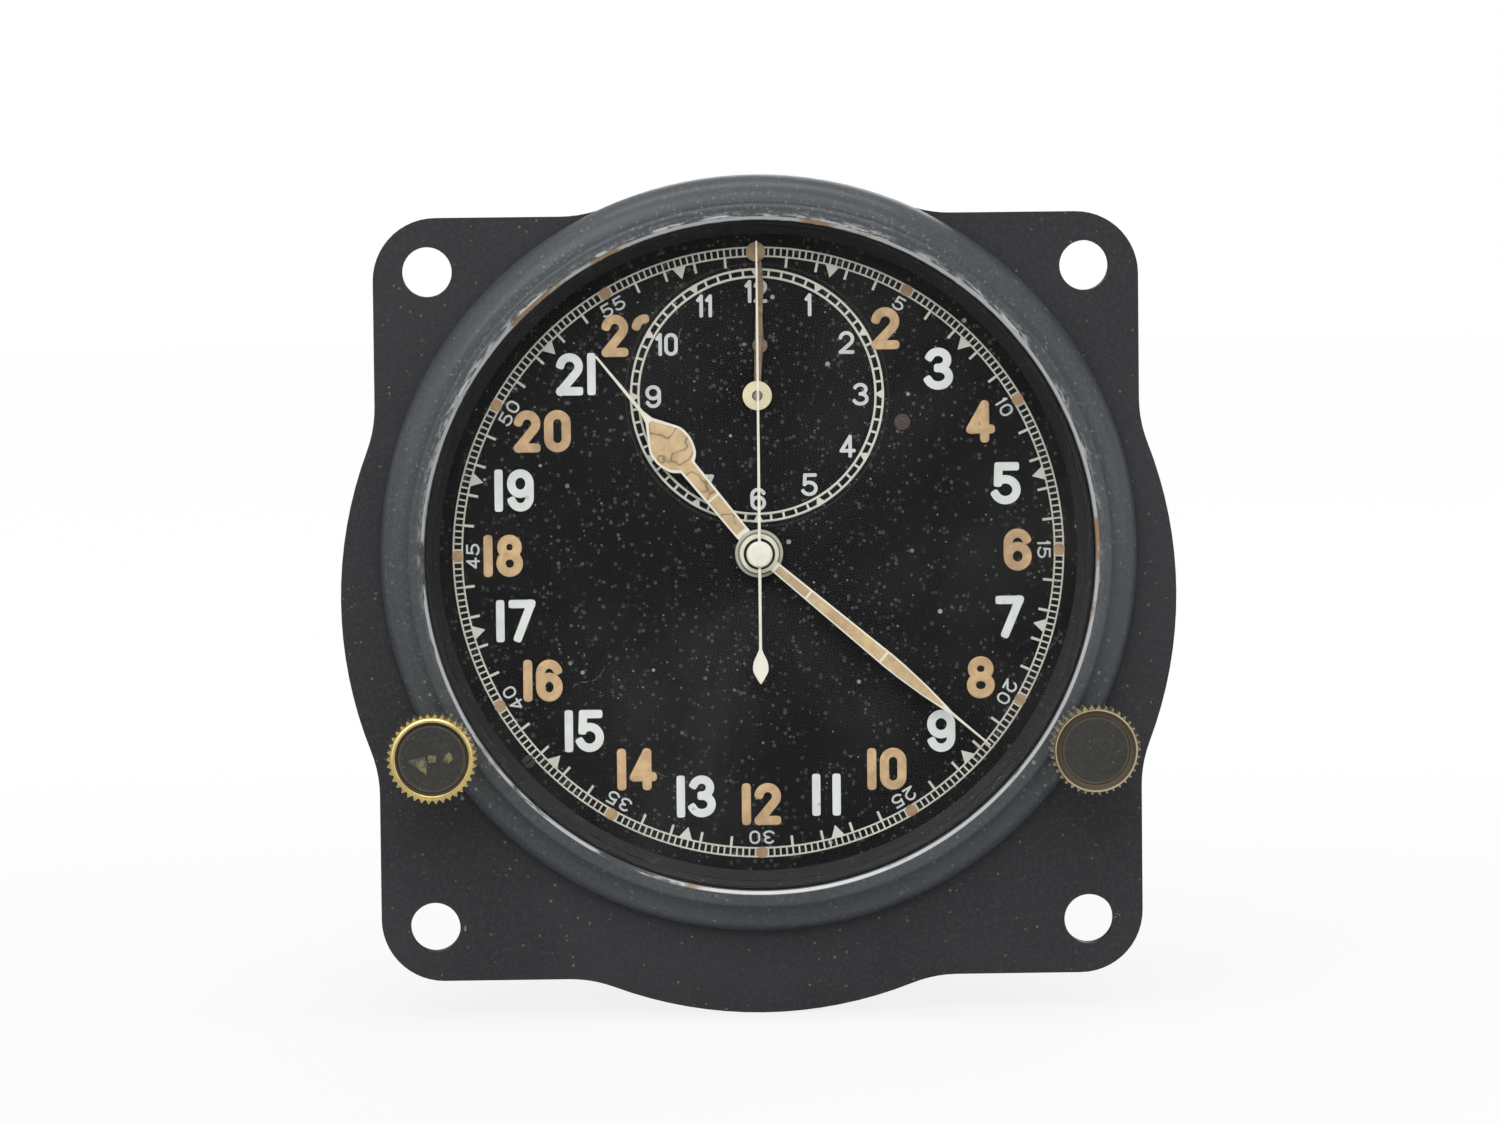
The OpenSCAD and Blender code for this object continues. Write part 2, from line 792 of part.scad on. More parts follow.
// Bridge behind the elapsed-time wheels
bridge_w = 5;
bridge_foot_r = 2.1;
module trip_bridge() {
    middle = (dial_axis + trip_axis) / 2;
    color(brass)
        panel()
            difference() {
                union() {
                    slab(bridge_z) {
                        bar(dial_axis, trip_axis, bridge_w);
                        bar(middle, idler_axis, bridge_w);
                        for (p = [dial_axis, trip_axis, idler_axis])
                            at(p)
                                circle(bridge_w / 2);
                        for (p = bridge_feet)
                            bar(middle, p, 2 * bridge_foot_r);
                    }
                    for (p = bridge_feet)
                        at(p)
                            disc(bridge_foot_r, [bridge_z[0], rear_plate_back]);
                }
                for (p = [dial_axis, trip_axis])
                    at(p)
                        disc(sweep_arbor_r + run_fit, [bridge_z[0] - cut, bridge_z[1] + cut]);
                at(idler_axis)
                    disc(idler_pivot_r + run_fit, [bridge_z[0] - cut, bridge_z[1] + cut]);
                for (p = bridge_feet)
                    at(p)
                        screw_hole([bridge_z[0] - cut, rear_plate_back + cut]);
            }
}

bush_back = -1.5;
bush_front = lip_top - shake;
module stem_bushes() {
    color(brass)
        panel()
            for (p = [left_stem, right_stem])
                at(p)
                    tube(bush_r, stem_bore_r, [bush_back, bush_front]);
}

// Fixed studs that wheels and levers turn or slide on
post_end = 0.4;
lever_post_r = 0.8;
yoke_pin_end = 1.5;
yoke_pin_r = 0.7;
click_post_r = 0.6;
yoke_z = [front_plate_back - 4, front_plate_back - 3.2];
module wheel_posts() {
    color(steel)
        panel() {
            for (p = [minute_axis, trip_motion_axis, setting_axis])
                at(p)
                    disc(post_r, [front_plate_front, second_motion_z[1] + post_end]);
            at(winding_axis)
                disc(lever_post_r, [rear_wheel_z[0] - post_end, rear_plate_back]);
            at(click_axis)
                disc(click_post_r, [rear_wheel_z[0] - post_end, rear_plate_back]);
            at(reset_axis)
                disc(lever_post_r, [heart_z[0] - post_end, rear_plate_back]);
            at(yoke_pin)
                disc(yoke_pin_r, [yoke_z[0] - yoke_pin_end, 0]);
        }
}

click_r = 1.3;
click_w = 1;
click_room = 0.15;
click_way = 92;
click_spring_t = 0.3;
click_spring_way = 60;
click_spring_len = 8;
click_spring_post_r = 0.9;
module click_spring() {
    near = click_axis + polar(click_r + 2 * shake + click_spring_t / 2, click_spring_way);
    far = near + polar(click_spring_len, click_spring_way + 90);
    color(steel)
        panel() {
            slab(rear_wheel_z)
                bar(near, far, click_spring_t);
            at(far)
                disc(click_spring_post_r, [rear_wheel_z[0], rear_plate_back]);
        }
}

// Coil under the push knob: a tube along a helix, with flat end turns left out
spring_wire = 0.4;
spring_mean_r = 1.6;
spring_turns = 4;
spring_seat = 0.1;
knob_well = 2;
coil_steps = 8 * spring_turns;
coil_sides = 6;
module push_spring() {
    z0 = bush_front + spring_wire / 2 + spring_seat;
    z1 = knob_back + knob_well - spring_wire / 2 - spring_seat;
    points = [for (i = [0 : coil_steps], k = [0 : coil_sides - 1])
        let (t = i / coil_steps, turn = 360 * spring_turns * t, a = 360 * k / coil_sides,
            r = spring_mean_r + spring_wire / 2 * cos(a))
        [r * cos(turn), r * sin(turn), z0 + (z1 - z0) * t + spring_wire / 2 * sin(a)]];
    last = coil_steps * coil_sides;
    sides = [for (i = [0 : coil_steps - 1], k = [0 : coil_sides - 1])
        let (a = i * coil_sides + k, b = i * coil_sides + (k + 1) % coil_sides)
        each [[a, a + coil_sides, b], [b, a + coil_sides, b + coil_sides]]];
    caps = [for (k = [1 : coil_sides - 2])
        each [[0, k, k + 1], [last, last + k + 1, last + k]]];
    echo(push_spring_gap = (z1 - z0) / spring_turns - spring_wire);
    color(steel)
        panel()
            at(right_stem)
                polyhedron(points, concat(sides, caps));
}

// Going train
drum_inset = 0.2;
drum_r = pitch_r(barrel_teeth, barrel_module) - dedendum * barrel_module - drum_inset;
drum_in_r = drum_r - barrel_wall;
spiral_steps = 24;
mainspring_strip = 0.25;
core_room = 0.4;
module barrel() {
    phase = angle_of(barrel_axis, dial_axis);
    color(brass)
        panel()
            at(barrel_axis) {
                gear(barrel_teeth, barrel_module, phase, barrel_wheel, barrel_pivot_r + run_fit);
                tube(drum_r, drum_in_r, [drum_back, barrel_wheel[0]]);
            }
}

module barrel_cover() {
    color(brass)
        panel()
            at(barrel_axis)
                tube(drum_in_r - press_gap, barrel_pivot_r + run_fit,
                    [drum_back, drum_back + barrel_lid_t]);
}

module mainspring() {
    color(spring_steel)
        panel()
            at(barrel_axis)
                slab([drum_back + barrel_lid_t + shake, barrel_wheel[0] - shake])
                    spiral(barrel_core_r + core_room, drum_in_r - mainspring_strip - slip,
                        mainspring_turns, mainspring_strip, spiral_steps);
}

square_w = 2;
ratchet_screw_r = 0.5;
ratchet_screw_len = 1.8;
ratchet_head_h = 0.8;
module barrel_arbor() {
    color(steel)
        panel()
            at(barrel_axis)
                difference() {
                    union() {
                        disc(barrel_pivot_r, [rear_plate_back - shake, front_plate_front]);
                        disc(barrel_core_r, [drum_back + barrel_lid_t + shake,
                            barrel_wheel[0] - shake]);
                        slab([rear_wheel_z[0], rear_plate_back])
                            square(square_w, center = true);
                    }
                    disc(ratchet_screw_r + thread_fit,
                        [rear_wheel_z[0] - cut, rear_wheel_z[0] + ratchet_screw_len + shake]);
                }
}

winding_phase = mesh_phase(angle_of(left_stem, winding_axis), stem_leaves, winding_teeth,
    angle_of(left_stem, winding_axis));
module ratchet_wheel() {
    phase = mesh_phase(winding_phase, winding_teeth, ratchet_teeth,
        angle_of(winding_axis, barrel_axis));
    color(steel)
        panel()
            at(barrel_axis)
                slab(rear_wheel_z)
                    difference() {
                        polygon(toothed(ratchet_teeth, winding_module, phase));
                        square(square_w + 2 * press_gap, center = true);
                    }
}

module ratchet_screw() {
    color(blued)
        panel()
            at(barrel_axis)
                difference() {
                    union() {
                        disc(screw_head_r, [rear_wheel_z[0] - ratchet_head_h, rear_wheel_z[0]]);
                        disc(ratchet_screw_r, [rear_wheel_z[0] - ratchet_head_h / 2,
                            rear_wheel_z[0] + ratchet_screw_len]);
                    }
                    translate([-screw_head_r - cut, -slot_w / 2, rear_wheel_z[0] - ratchet_head_h - cut])
                        cube([2 * (screw_head_r + cut), slot_w, slot_d / 2 + cut]);
                }
}

module click() {
    nose = barrel_axis + polar(tip_r(ratchet_teeth, winding_module) + click_room + click_w / 2,
        click_way);
    color(steel)
        panel()
            slab(rear_wheel_z)
                difference() {
                    union() {
                        at(click_axis)
                            circle(click_r);
                        bar(click_axis, nose, click_w);
                    }
                    at(click_axis)
                        circle(click_post_r + run_fit);
                }
}

module winding_wheel() {
    color(steel)
        panel()
            at(winding_axis)
                wheel(winding_teeth, winding_module, winding_phase, rear_wheel_z,
                    lever_post_r + run_fit, hub_r);
}

groove_r = 0.65;
leaf_lap = 0.15;
setting_z = [first_motion_z[0] - leaf_lap, first_motion_z[1] + leaf_lap];
module winding_stem() {
    setting_turn = angle_of(left_stem, setting_axis);
    color(steel)
        panel()
            at(left_stem)
                difference() {
                    union() {
                        disc(stem_r, [rear_wheel_z[0] - post_end, stem_top]);
                        gear(stem_leaves, winding_module, angle_of(left_stem, winding_axis),
                            [rear_wheel_z[0] - leaf_lap, rear_wheel_z[1] + leaf_lap], stem_r / 2);
                        gear(setting_leaves, minute_module, setting_turn,
                            [setting_z[0] - knob_travel, setting_z[1] - knob_travel], stem_r / 2);
                    }
                    tube(stem_r + cut, groove_r, [yoke_z[0] - slip, yoke_z[1] + slip]);
                }
}

// Reeded knob with a recess for its dark face and a bore for its stem
function reeds(r, depth, n) =
    [for (i = [0 : n - 1])
        let (p = 360 / n, a = i * p)
        each [polar(r - depth, a - reed_root * p), polar(r, a - reed_crest * p),
            polar(r, a + reed_crest * p), polar(r - depth, a + reed_root * p)]];
knob_plain = 0.6;
reed_root = 0.42;
reed_crest = 0.18;
module knob(well) {
    r = knob_d / 2;
    difference() {
        union() {
            slab([knob_back, knob_front - knob_plain])
                polygon(reeds(r, reed_depth, reed_count));
            disc(r - reed_depth / 2, [knob_front - knob_plain, knob_front]);
        }
        disc(knob_face_d / 2, [stem_top, knob_front + cut]);
        disc(stem_r + press_gap, [knob_back - cut, knob_front]);
        disc(well, [knob_back - cut, knob_back + knob_well]);
    }
}
module knob_face() {
    disc(knob_face_d / 2 - press_gap, [stem_top, stem_top + face_t]);
}

module winding_knob() {
    color(gilt)
        panel()
            at(left_stem)
                knob(stem_r + press_gap);
}

module winding_knob_face() {
    color(dark_face)
        panel()
            at(left_stem)
                knob_face();
}

// Fork that slides with the winding stem on a pin of the case
yoke_end_r = 1.5;
module setting_yoke() {
    slot = 2 * (groove_r + shake);
    color(steel)
        panel()
            slab(yoke_z)
                difference() {
                    union() {
                        bar(yoke_pin, left_stem, 2 * yoke_end_r);
                        at(left_stem)
                            circle(yoke_end_r);
                        at(yoke_pin)
                            circle(yoke_end_r);
                    }
                    at(yoke_pin)
                        circle(yoke_pin_r + run_fit);
                    at(left_stem)
                        circle(slot / 2);
                    bar(left_stem, left_stem + (left_stem - yoke_pin), slot);
                }
}

module setting_wheel() {
    color(brass)
        panel()
            at(setting_axis)
                wheel(setting_teeth, minute_module, setting_phase, first_motion_z,
                    post_r + run_fit, hub_r);
}
setting_phase = mesh_phase(angle_of(left_stem, setting_axis), setting_leaves, setting_teeth,
    angle_of(left_stem, setting_axis));
minute_phase = mesh_phase(setting_phase, setting_teeth, minute_teeth,
    angle_of(setting_axis, minute_axis));

module centre_wheel() {
    to_barrel = angle_of(barrel_axis, dial_axis);
    color(brass)
        panel()
            at(dial_axis) {
                tube(centre_arbor_r, centre_bore_r, [rear_plate_back + shake, hour_hand_z]);
                gear(centre_leaves, barrel_module,
                    mesh_phase(to_barrel, barrel_teeth, centre_leaves, to_barrel),
                    [barrel_wheel[0] - shake, barrel_wheel[1] + shake], centre_bore_r);
                wheel(centre_teeth, centre_module, angle_of(dial_axis, third_axis),
                    centre_wheel_z, centre_bore_r, hub_r);
            }
}

// A wheel and a pinion on one arbor between the plates
module train_wheel(p, before, after, leaves, leaf_module, leaf_teeth, leaf_z, teeth, tooth_module,
    wheel_z, arbor_r, pivot) {
    turn = angle_of(before, p);
    color(brass)
        panel()
            at(p) {
                arbor(arbor_r, pivot);
                gear(leaves, leaf_module, mesh_phase(turn, leaf_teeth, leaves, turn),
                    [leaf_z[0] - leaf_over, leaf_z[1] + leaf_over], arbor_r / 2);
                wheel(teeth, tooth_module, angle_of(p, after), wheel_z, arbor_r / 2, hub_r);
            }
}

module third_wheel() {
    train_wheel(third_axis, dial_axis, fourth_axis, third_leaves, centre_module, centre_teeth,
        centre_wheel_z, third_teeth, third_module, third_wheel_z, thick_arbor_r,
        jewel_pivots[0]);
}

module fourth_wheel() {
    train_wheel(fourth_axis, third_axis, escape_axis, fourth_leaves, third_module, third_teeth,
        third_wheel_z, fourth_teeth, fourth_module, fourth_wheel_z, thick_arbor_r,
        jewel_pivots[1]);
}

// Escape wheel with raked teeth
module escape_wheel() {
    turn = angle_of(fourth_axis, escape_axis);
    pitch = 360 / escape_teeth;
    first = lever_way + 1.5 * pitch - 6;
    color(brass)
        panel()
            at(escape_axis) {
                arbor(thin_arbor_r, jewel_pivots[2]);
                gear(escape_leaves, fourth_module,
                    mesh_phase(turn, fourth_teeth, escape_leaves, turn),
                    [fourth_wheel_z[0] - leaf_over, fourth_wheel_z[1] + leaf_over],
                    thin_arbor_r / 2);
                slab(escape_wheel_z)
                    difference() {
                        polygon([for (i = [0 : escape_teeth - 1])
                            let (a = first + i * pitch)
                            each [polar(escape_r * 0.74, a - 5), polar(escape_r, a - 1.5),
                                polar(escape_r, a + 1.5), polar(escape_r * 0.74, a + 10)]]);
                        for (a = [45 : 90 : 315])
                            translate(polar(escape_r * 0.42, a))
                                circle(escape_r * 0.19);
                    }
            }
}

// Lever with two pallets astride the escape wheel and a fork towards the balance
pallet_spread = 30;
pallet_gap = 0.3;
pallet_len = 1.1;
pallet_w = 0.45;
pallet_arm_w = 0.7;
lever_w = 0.9;
fork_gap = 0.15;
fork_d = 0.5;
roller_pin_at = 1.2;
roller_pin_r = 0.2;
roller_r = 1.6;
roller_over = 0.3;
roller_t = 0.4;
module pallet_lever() {
    fork = lever_to_balance - roller_pin_at - roller_pin_r - fork_gap;
    color(steel)
        panel()
            at(lever_axis)
                rotate(lever_way) {
                    arbor(thin_arbor_r, jewel_pivots[3]);
                    slab(escape_wheel_z) {
                        circle(lever_w);
                        difference() {
                            bar([0, 0], [fork, 0], lever_w);
                            bar([fork - fork_d, 0], [fork + fork_d, 0], 2 * roller_pin_r);
                        }
                        for (side = [-1, 1]) {
                            low = polar(escape_r + pallet_gap, side * pallet_spread);
                            high = polar(escape_r + pallet_gap + pallet_len, side * pallet_spread);
                            translate([-lever_to_escape, 0])
                                bar(low, high, pallet_w);
                            bar([0, 0], high - [lever_to_escape, 0] - polar(pallet_w, side * pallet_spread),
                                pallet_arm_w);
                        }
                    }
                }
}

staff_r = 0.45;
collet_r = 0.9;
collet_over = 0.2;
balance_rim = 0.9;
balance_hub_r = 1.1;
module balance_wheel() {
    color(brass)
        panel()
            at(balance_axis)
                slab(balance_z)
                    difference() {
                        union() {
                            difference() {
                                circle(balance_r);
                                circle(balance_r - balance_rim);
                            }
                            square([2 * balance_r - balance_rim, balance_rim], center = true);
                            circle(balance_hub_r);
                        }
                        circle(staff_r + press_gap);
                    }
}

module balance_staff() {
    roller_z = [escape_wheel_z[1] + roller_over, escape_wheel_z[1] + roller_over + roller_t];
    color(steel)
        panel()
            at(balance_axis) {
                disc(staff_r, [cock_z[1] + shake, front_plate_back - shake]);
                disc(balance_pivot_r, [cock_z[1] - jewel_t, front_plate_back + jewel_t]);
                disc(roller_r, roller_z);
                disc(collet_r, [spring_z[0] - collet_over, spring_z[1] + collet_over]);
                translate(polar(roller_pin_at, lever_way + 180))
                    disc(roller_pin_r, [escape_wheel_z[0] - shake, roller_z[0] + shake]);
            }
}

module hairspring() {
    color(spring_steel)
        panel()
            at(balance_axis)
                rotate(stud_way)
                    slab(spring_z)
                        spiral(collet_r + shake, hairspring_r, hairspring_turns, hairspring_strip,
                            spiral_steps);
}

// Motion work and hands
module cannon_pinion() {
    turn = angle_of(minute_axis, dial_axis);
    color(steel)
        panel()
            at(dial_axis) {
                tube(cannon_r, centre_arbor_r + cannon_fit,
                    [first_motion_z[0] - 2 * leaf_lap, minute_hand_z + minute_boss[1]]);
                gear(cannon_leaves, minute_module,
                    mesh_phase(minute_phase, minute_teeth, cannon_leaves, turn),
                    setting_z, centre_arbor_r + cannon_fit);
            }
}

module minute_wheel() {
    color(brass)
        panel()
            at(minute_axis) {
                wheel(minute_teeth, minute_module, minute_phase, first_motion_z,
                    post_r + run_fit, hub_r);
                gear(minute_leaves, hour_module, angle_of(minute_axis, dial_axis),
                    [first_motion_z[0], second_motion_z[1] + leaf_over], post_r + run_fit);
            }
}

module hour_wheel() {
    turn = angle_of(minute_axis, dial_axis);
    bore = cannon_r + run_fit;
    color(brass)
        panel()
            at(dial_axis) {
                wheel(hour_teeth, hour_module,
                    mesh_phase(turn, minute_leaves, hour_teeth, turn), second_motion_z, bore,
                    wide_hub_r);
                tube(hour_pipe_r, bore, [second_motion_z[0], hour_hand_z + hour_boss[1]]);
            }
}

// Half width of the hour hand's leaf at a share t of its length
function leaf_half(t) = 1.95 * pow(sin(180 * pow(t, 0.85)), 0.85);
module hour_hand() {
    stalk = 0.62;
    leaf_from = 10.4;
    leaf_to = 16.9;
    needle = 0.17;
    leaf = [for (t = [0.08 : 0.06 : 0.92])
        [leaf_half(t), leaf_from + t * (leaf_to - leaf_from)]];
    half = concat([[stalk, 0], [stalk, leaf_from]], leaf,
        [[needle, leaf_to], [needle / 2, hour_hand_len]]);
    hand(half, hour_hand_z, hand_t, hour_boss, hour_pipe_r + press_gap, dial_axis, hour_angle);
}

// A flat hand from the right half of its outline, with a round boss
module hand(half, z, t, boss, bore, axis, turn) {
    color(white_paint)
        panel()
            at(axis)
                rotate(turn)
                    difference() {
                        union() {
                            slab([z, z + t])
                                polygon(concat(half,
                                    [for (i = [len(half) - 1 : -1 : 0])
                                        [-half[i][0], half[i][1]]]));
                            disc(boss[0], [z, z + boss[1]]);
                        }
                        disc(bore, [z - cut, z + boss[1] + cut]);
                    }
}

module minute_hand() {
    waist = 0.5;
    widest = 0.86;
    widest_at = 15.5;
    needle_from = 22.9;
    needle = 0.14;
    half = [[waist, 0], [widest, widest_at], [needle, needle_from],
        [needle / 2, minute_hand_len]];
    hand(half, minute_hand_z, hand_t, minute_boss, cannon_r + press_gap, dial_axis, minute_angle);
}

module sweep_arbor() {
    color(steel)
        panel()
            at(dial_axis) {
                disc(sweep_arbor_r, [bridge_z[0] + shake, sweep_hand_z + hand_t]);
                gear(sweep_leaves, trip_module, angle_of(dial_axis, idler_axis),
                    [idler_wheel_z[0] - leaf_over, idler_wheel_z[1] + leaf_over],
                    sweep_arbor_r / 2);
            }
}

module sweep_hand() {
    half_w = 0.2;
    drop_len = 2.6;
    drop_half = 0.75;
    drop = [for (t = [0 : 0.1 : 1])
        [max(half_w / 2, drop_half * sin(180 * pow(t, 1.4))), -sweep_tail_len + drop_len * (1 - t)]];
    half = concat([for (i = [len(drop) - 1 : -1 : 0]) drop[i]],
        [[half_w, -sweep_tail_len + drop_len], [half_w, 0], [half_w / 2, sweep_hand_len]]);
    color(white_paint)
        panel()
            at(dial_axis)
                difference() {
                    union() {
                        slab([sweep_hand_z, sweep_hand_z + hand_t - 0.05])
                            polygon(concat(half, [for (i = [len(half) - 1 : -1 : 0])
                                [-half[i][0], half[i][1]]]));
                        disc(sweep_boss[0], [sweep_hand_z, sweep_hand_z + sweep_boss[1]]);
                    }
                    disc(sweep_arbor_r + press_gap, [sweep_hand_z - cut, sweep_hand_z + hand_t]);
                }
}

// Elapsed-time train
idler_pivot_r = 0.3;
module trip_idler() {
    turn = angle_of(dial_axis, idler_axis);
    color(brass)
        panel()
            at(idler_axis) {
                disc(thick_arbor_r, [bridge_z[1] + shake, rear_plate_back - shake]);
                disc(idler_pivot_r, [bridge_z[1] - pivot_depth, rear_plate_back + pivot_depth]);
                wheel(idler_teeth, trip_module,
                    mesh_phase(turn, sweep_leaves, idler_teeth, turn), idler_wheel_z,
                    idler_pivot_r / 2, hub_r);
                gear(idler_leaves, trip_module, angle_of(idler_axis, trip_axis),
                    [trip_wheel_z[0] - leaf_over, trip_wheel_z[1] + leaf_over], idler_pivot_r / 2);
            }
}

// Arbor of the elapsed minutes, with its wheel, its heart cam and its pinion under the dial
heart_low = 1;
heart_high = 1.9;
heart_way = 234;
module trip_arbor() {
    turn = angle_of(idler_axis, trip_axis);
    heart = [for (a = [-180 : 10 : 170])
        polar(heart_low + (heart_high - heart_low) * abs(a) / 180, heart_way + a)];
    color(steel)
        panel()
            at(trip_axis) {
                disc(sweep_arbor_r, [bridge_z[0] + shake, trip_minute_z + trip_minute_boss[1]]);
                wheel(trip_teeth, trip_module,
                    mesh_phase(turn, idler_leaves, trip_teeth, turn), trip_wheel_z,
                    sweep_arbor_r / 2, hub_r);
                slab(heart_z)
                    polygon(heart);
                gear(trip_leaves, trip_module, angle_of(trip_axis, trip_motion_axis),
                    setting_z, sweep_arbor_r / 2);
            }
}

module trip_motion_wheel() {
    turn = angle_of(trip_axis, trip_motion_axis);
    color(brass)
        panel()
            at(trip_motion_axis) {
                wheel(trip_motion_teeth, trip_module,
                    mesh_phase(turn, trip_leaves, trip_motion_teeth, turn), first_motion_z,
                    post_r + run_fit, small_hub_r);
                gear(trip_motion_leaves, trip_module, turn + 180,
                    [first_motion_z[0], second_motion_z[1] + leaf_over], post_r + run_fit);
            }
}

module trip_hour_wheel() {
    turn = angle_of(trip_motion_axis, trip_axis);
    bore = sweep_arbor_r + run_fit;
    color(brass)
        panel()
            at(trip_axis) {
                wheel(trip_hour_teeth, trip_module,
                    mesh_phase(turn, trip_motion_leaves, trip_hour_teeth, turn), second_motion_z,
                    bore, small_hub_r);
                tube(trip_pipe_r, bore, [second_motion_z[0], trip_hour_z + trip_hour_boss[1]]);
            }
}

module trip_hour_hand() {
    half_w = 0.22;
    bulge_at = 4.8;
    bulge_r = 0.75;
    bulge = [for (a = [-70 : 20 : 70]) [bulge_r * cos(a), bulge_at + bulge_r * sin(a)]];
    half = concat([[half_w, 0]], bulge, [[half_w / 2, trip_hour_len]]);
    hand(half, trip_hour_z, trip_hand_t, trip_hour_boss, trip_pipe_r + press_gap, trip_axis, 0);
}

module trip_minute_hand() {
    half_w = 0.2;
    half = [[half_w, 0], [half_w / 2, trip_minute_len]];
    hand(half, trip_minute_z, trip_hand_t, trip_minute_boss, sweep_arbor_r + press_gap,
        trip_axis, 0);
}

// Push knob of the elapsed-time dial and the lever that its stem moves
cone_long = 3.6;
cone_tip_r = 0.2;
cone_over = 0.9;
cone_back = heart_z[0] - cone_over;
stop_r = 1.9;
stop_t = 0.6;
well_room = 0.4;
module push_stem() {
    color(steel)
        panel()
            at(right_stem) {
                disc(stem_r, [cone_back + cone_long, stem_top]);
                translate([0, 0, cone_back])
                    cylinder(r1 = cone_tip_r, r2 = stem_r, h = cone_long);
                disc(stop_r, [bush_back - shake - stop_t, bush_back - shake]);
            }
}

module push_knob() {
    color(gilt)
        panel()
            at(right_stem)
                knob(bush_r + well_room);
}

module push_knob_face() {
    color(dark_face)
        panel()
            at(right_stem)
                knob_face();
}

reset_w = 1.8;
reset_eye_r = 2.2;
tail_room = 0.15;
nose_room = 0.9;
module reset_lever() {
    cone_r = cone_tip_r + (stem_r - cone_tip_r) * (heart_z[1] - cone_back) / cone_long;
    way = angle_of(reset_axis, right_stem);
    tail = right_stem + polar(cone_r + tail_room + reset_w / 2, way - 90);
    nose = trip_axis + polar(heart_high + nose_room + reset_w / 2, heart_way);
    color(steel)
        panel()
            slab(heart_z)
                difference() {
                    union() {
                        at(reset_axis)
                            circle(reset_eye_r);
                        bar(reset_axis, tail, reset_w);
                        at(tail)
                            circle(reset_w / 2);
                        bar(reset_axis, nose, reset_w);
                        at(nose)
                            circle(reset_w / 2);
                    }
                    at(reset_axis)
                        circle(lever_post_r + run_fit);
                }
}

case_body();
back_cover();
back_gasket();
back_screws();
bezel();
glass();
glass_gasket();
dial_surround();
dial();
dial_feet();
front_plate();
rear_plate();
plate_pillars();
plate_screws();
movement_screws();
jewels();
balance_cock();
trip_bridge();
stem_bushes();
wheel_posts();
click_spring();
push_spring();
barrel();
barrel_cover();
mainspring();
barrel_arbor();
ratchet_wheel();
ratchet_screw();
click();
winding_wheel();
winding_stem();
winding_knob();
winding_knob_face();
setting_yoke();
setting_wheel();
centre_wheel();
third_wheel();
fourth_wheel();
escape_wheel();
pallet_lever();
balance_wheel();
balance_staff();
hairspring();
cannon_pinion();
minute_hand();
minute_wheel();
hour_wheel();
hour_hand();
sweep_arbor();
sweep_hand();
trip_idler();
trip_arbor();
trip_minute_hand();
trip_motion_wheel();
trip_hour_wheel();
trip_hour_hand();
push_stem();
push_knob();
push_knob_face();
reset_lever();
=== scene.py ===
"""Looks of the aircraft panel clock: dial print, hands, finishes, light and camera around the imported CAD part."""

import math
from functools import partialmethod

import bpy
from mathutils import Matrix, Vector


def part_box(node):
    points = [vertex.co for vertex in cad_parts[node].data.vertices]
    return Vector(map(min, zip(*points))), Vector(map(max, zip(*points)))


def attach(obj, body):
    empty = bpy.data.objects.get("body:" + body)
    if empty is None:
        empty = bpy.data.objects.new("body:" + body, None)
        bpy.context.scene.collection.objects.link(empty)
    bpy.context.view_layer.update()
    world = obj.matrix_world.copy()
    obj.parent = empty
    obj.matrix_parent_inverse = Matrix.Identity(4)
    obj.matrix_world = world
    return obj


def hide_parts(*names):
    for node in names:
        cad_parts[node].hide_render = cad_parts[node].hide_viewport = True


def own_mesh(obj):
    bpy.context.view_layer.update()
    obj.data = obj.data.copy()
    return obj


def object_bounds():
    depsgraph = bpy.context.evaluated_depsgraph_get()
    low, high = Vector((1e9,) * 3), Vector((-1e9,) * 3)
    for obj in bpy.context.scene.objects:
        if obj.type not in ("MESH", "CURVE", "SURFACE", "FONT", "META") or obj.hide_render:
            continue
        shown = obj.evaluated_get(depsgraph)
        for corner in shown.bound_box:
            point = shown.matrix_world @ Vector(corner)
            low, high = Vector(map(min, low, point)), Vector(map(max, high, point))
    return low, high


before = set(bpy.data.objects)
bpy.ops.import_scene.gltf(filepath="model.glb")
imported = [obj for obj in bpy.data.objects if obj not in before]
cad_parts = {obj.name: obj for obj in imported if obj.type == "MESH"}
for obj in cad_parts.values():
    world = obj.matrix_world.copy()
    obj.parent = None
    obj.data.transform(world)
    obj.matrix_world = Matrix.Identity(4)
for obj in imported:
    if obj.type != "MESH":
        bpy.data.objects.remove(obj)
CAD_BOX = [list(corner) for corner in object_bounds()]

bl_info = {
    "name": "Panel clock finish",
    "version": (1, 0, 0),
    "blender": (4, 5, 0),
    "location": "3D View > Sidebar > Clock",
    "description": "Dial print, hands, finishes and stage of the panel clock",
    "category": "Object",
}

MM = 0.001


def middle(name):
    """Middle of a CAD node's box."""
    low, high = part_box(name)
    return (Vector(low) + Vector(high)) / 2


DIAL_AXIS = middle("dial")
DIAL_FRONT = -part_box("dial")[0][1]
TRIP_AXIS = middle("trip_hour_wheel")
WINDING_AXIS = middle("winding_knob")
PUSH_AXIS = middle("push_knob")
HOLE_OUT = 0.031435  # how far the flange holes lie from the clock's axis, each way
LIP_RADIUS = 0.032
PLATE_EASE, PLATE_LEAST = 0.03, 0.02  # how far a thin plate's edges are eased, and the least half width left on top
HOUR_TURN = math.radians(321.0)
MINUTE_TURN = math.radians(130.3)
TRIP_HOUR_TURN = math.radians(3.8)
TRIP_MINUTE_TURN = math.radians(1.8)


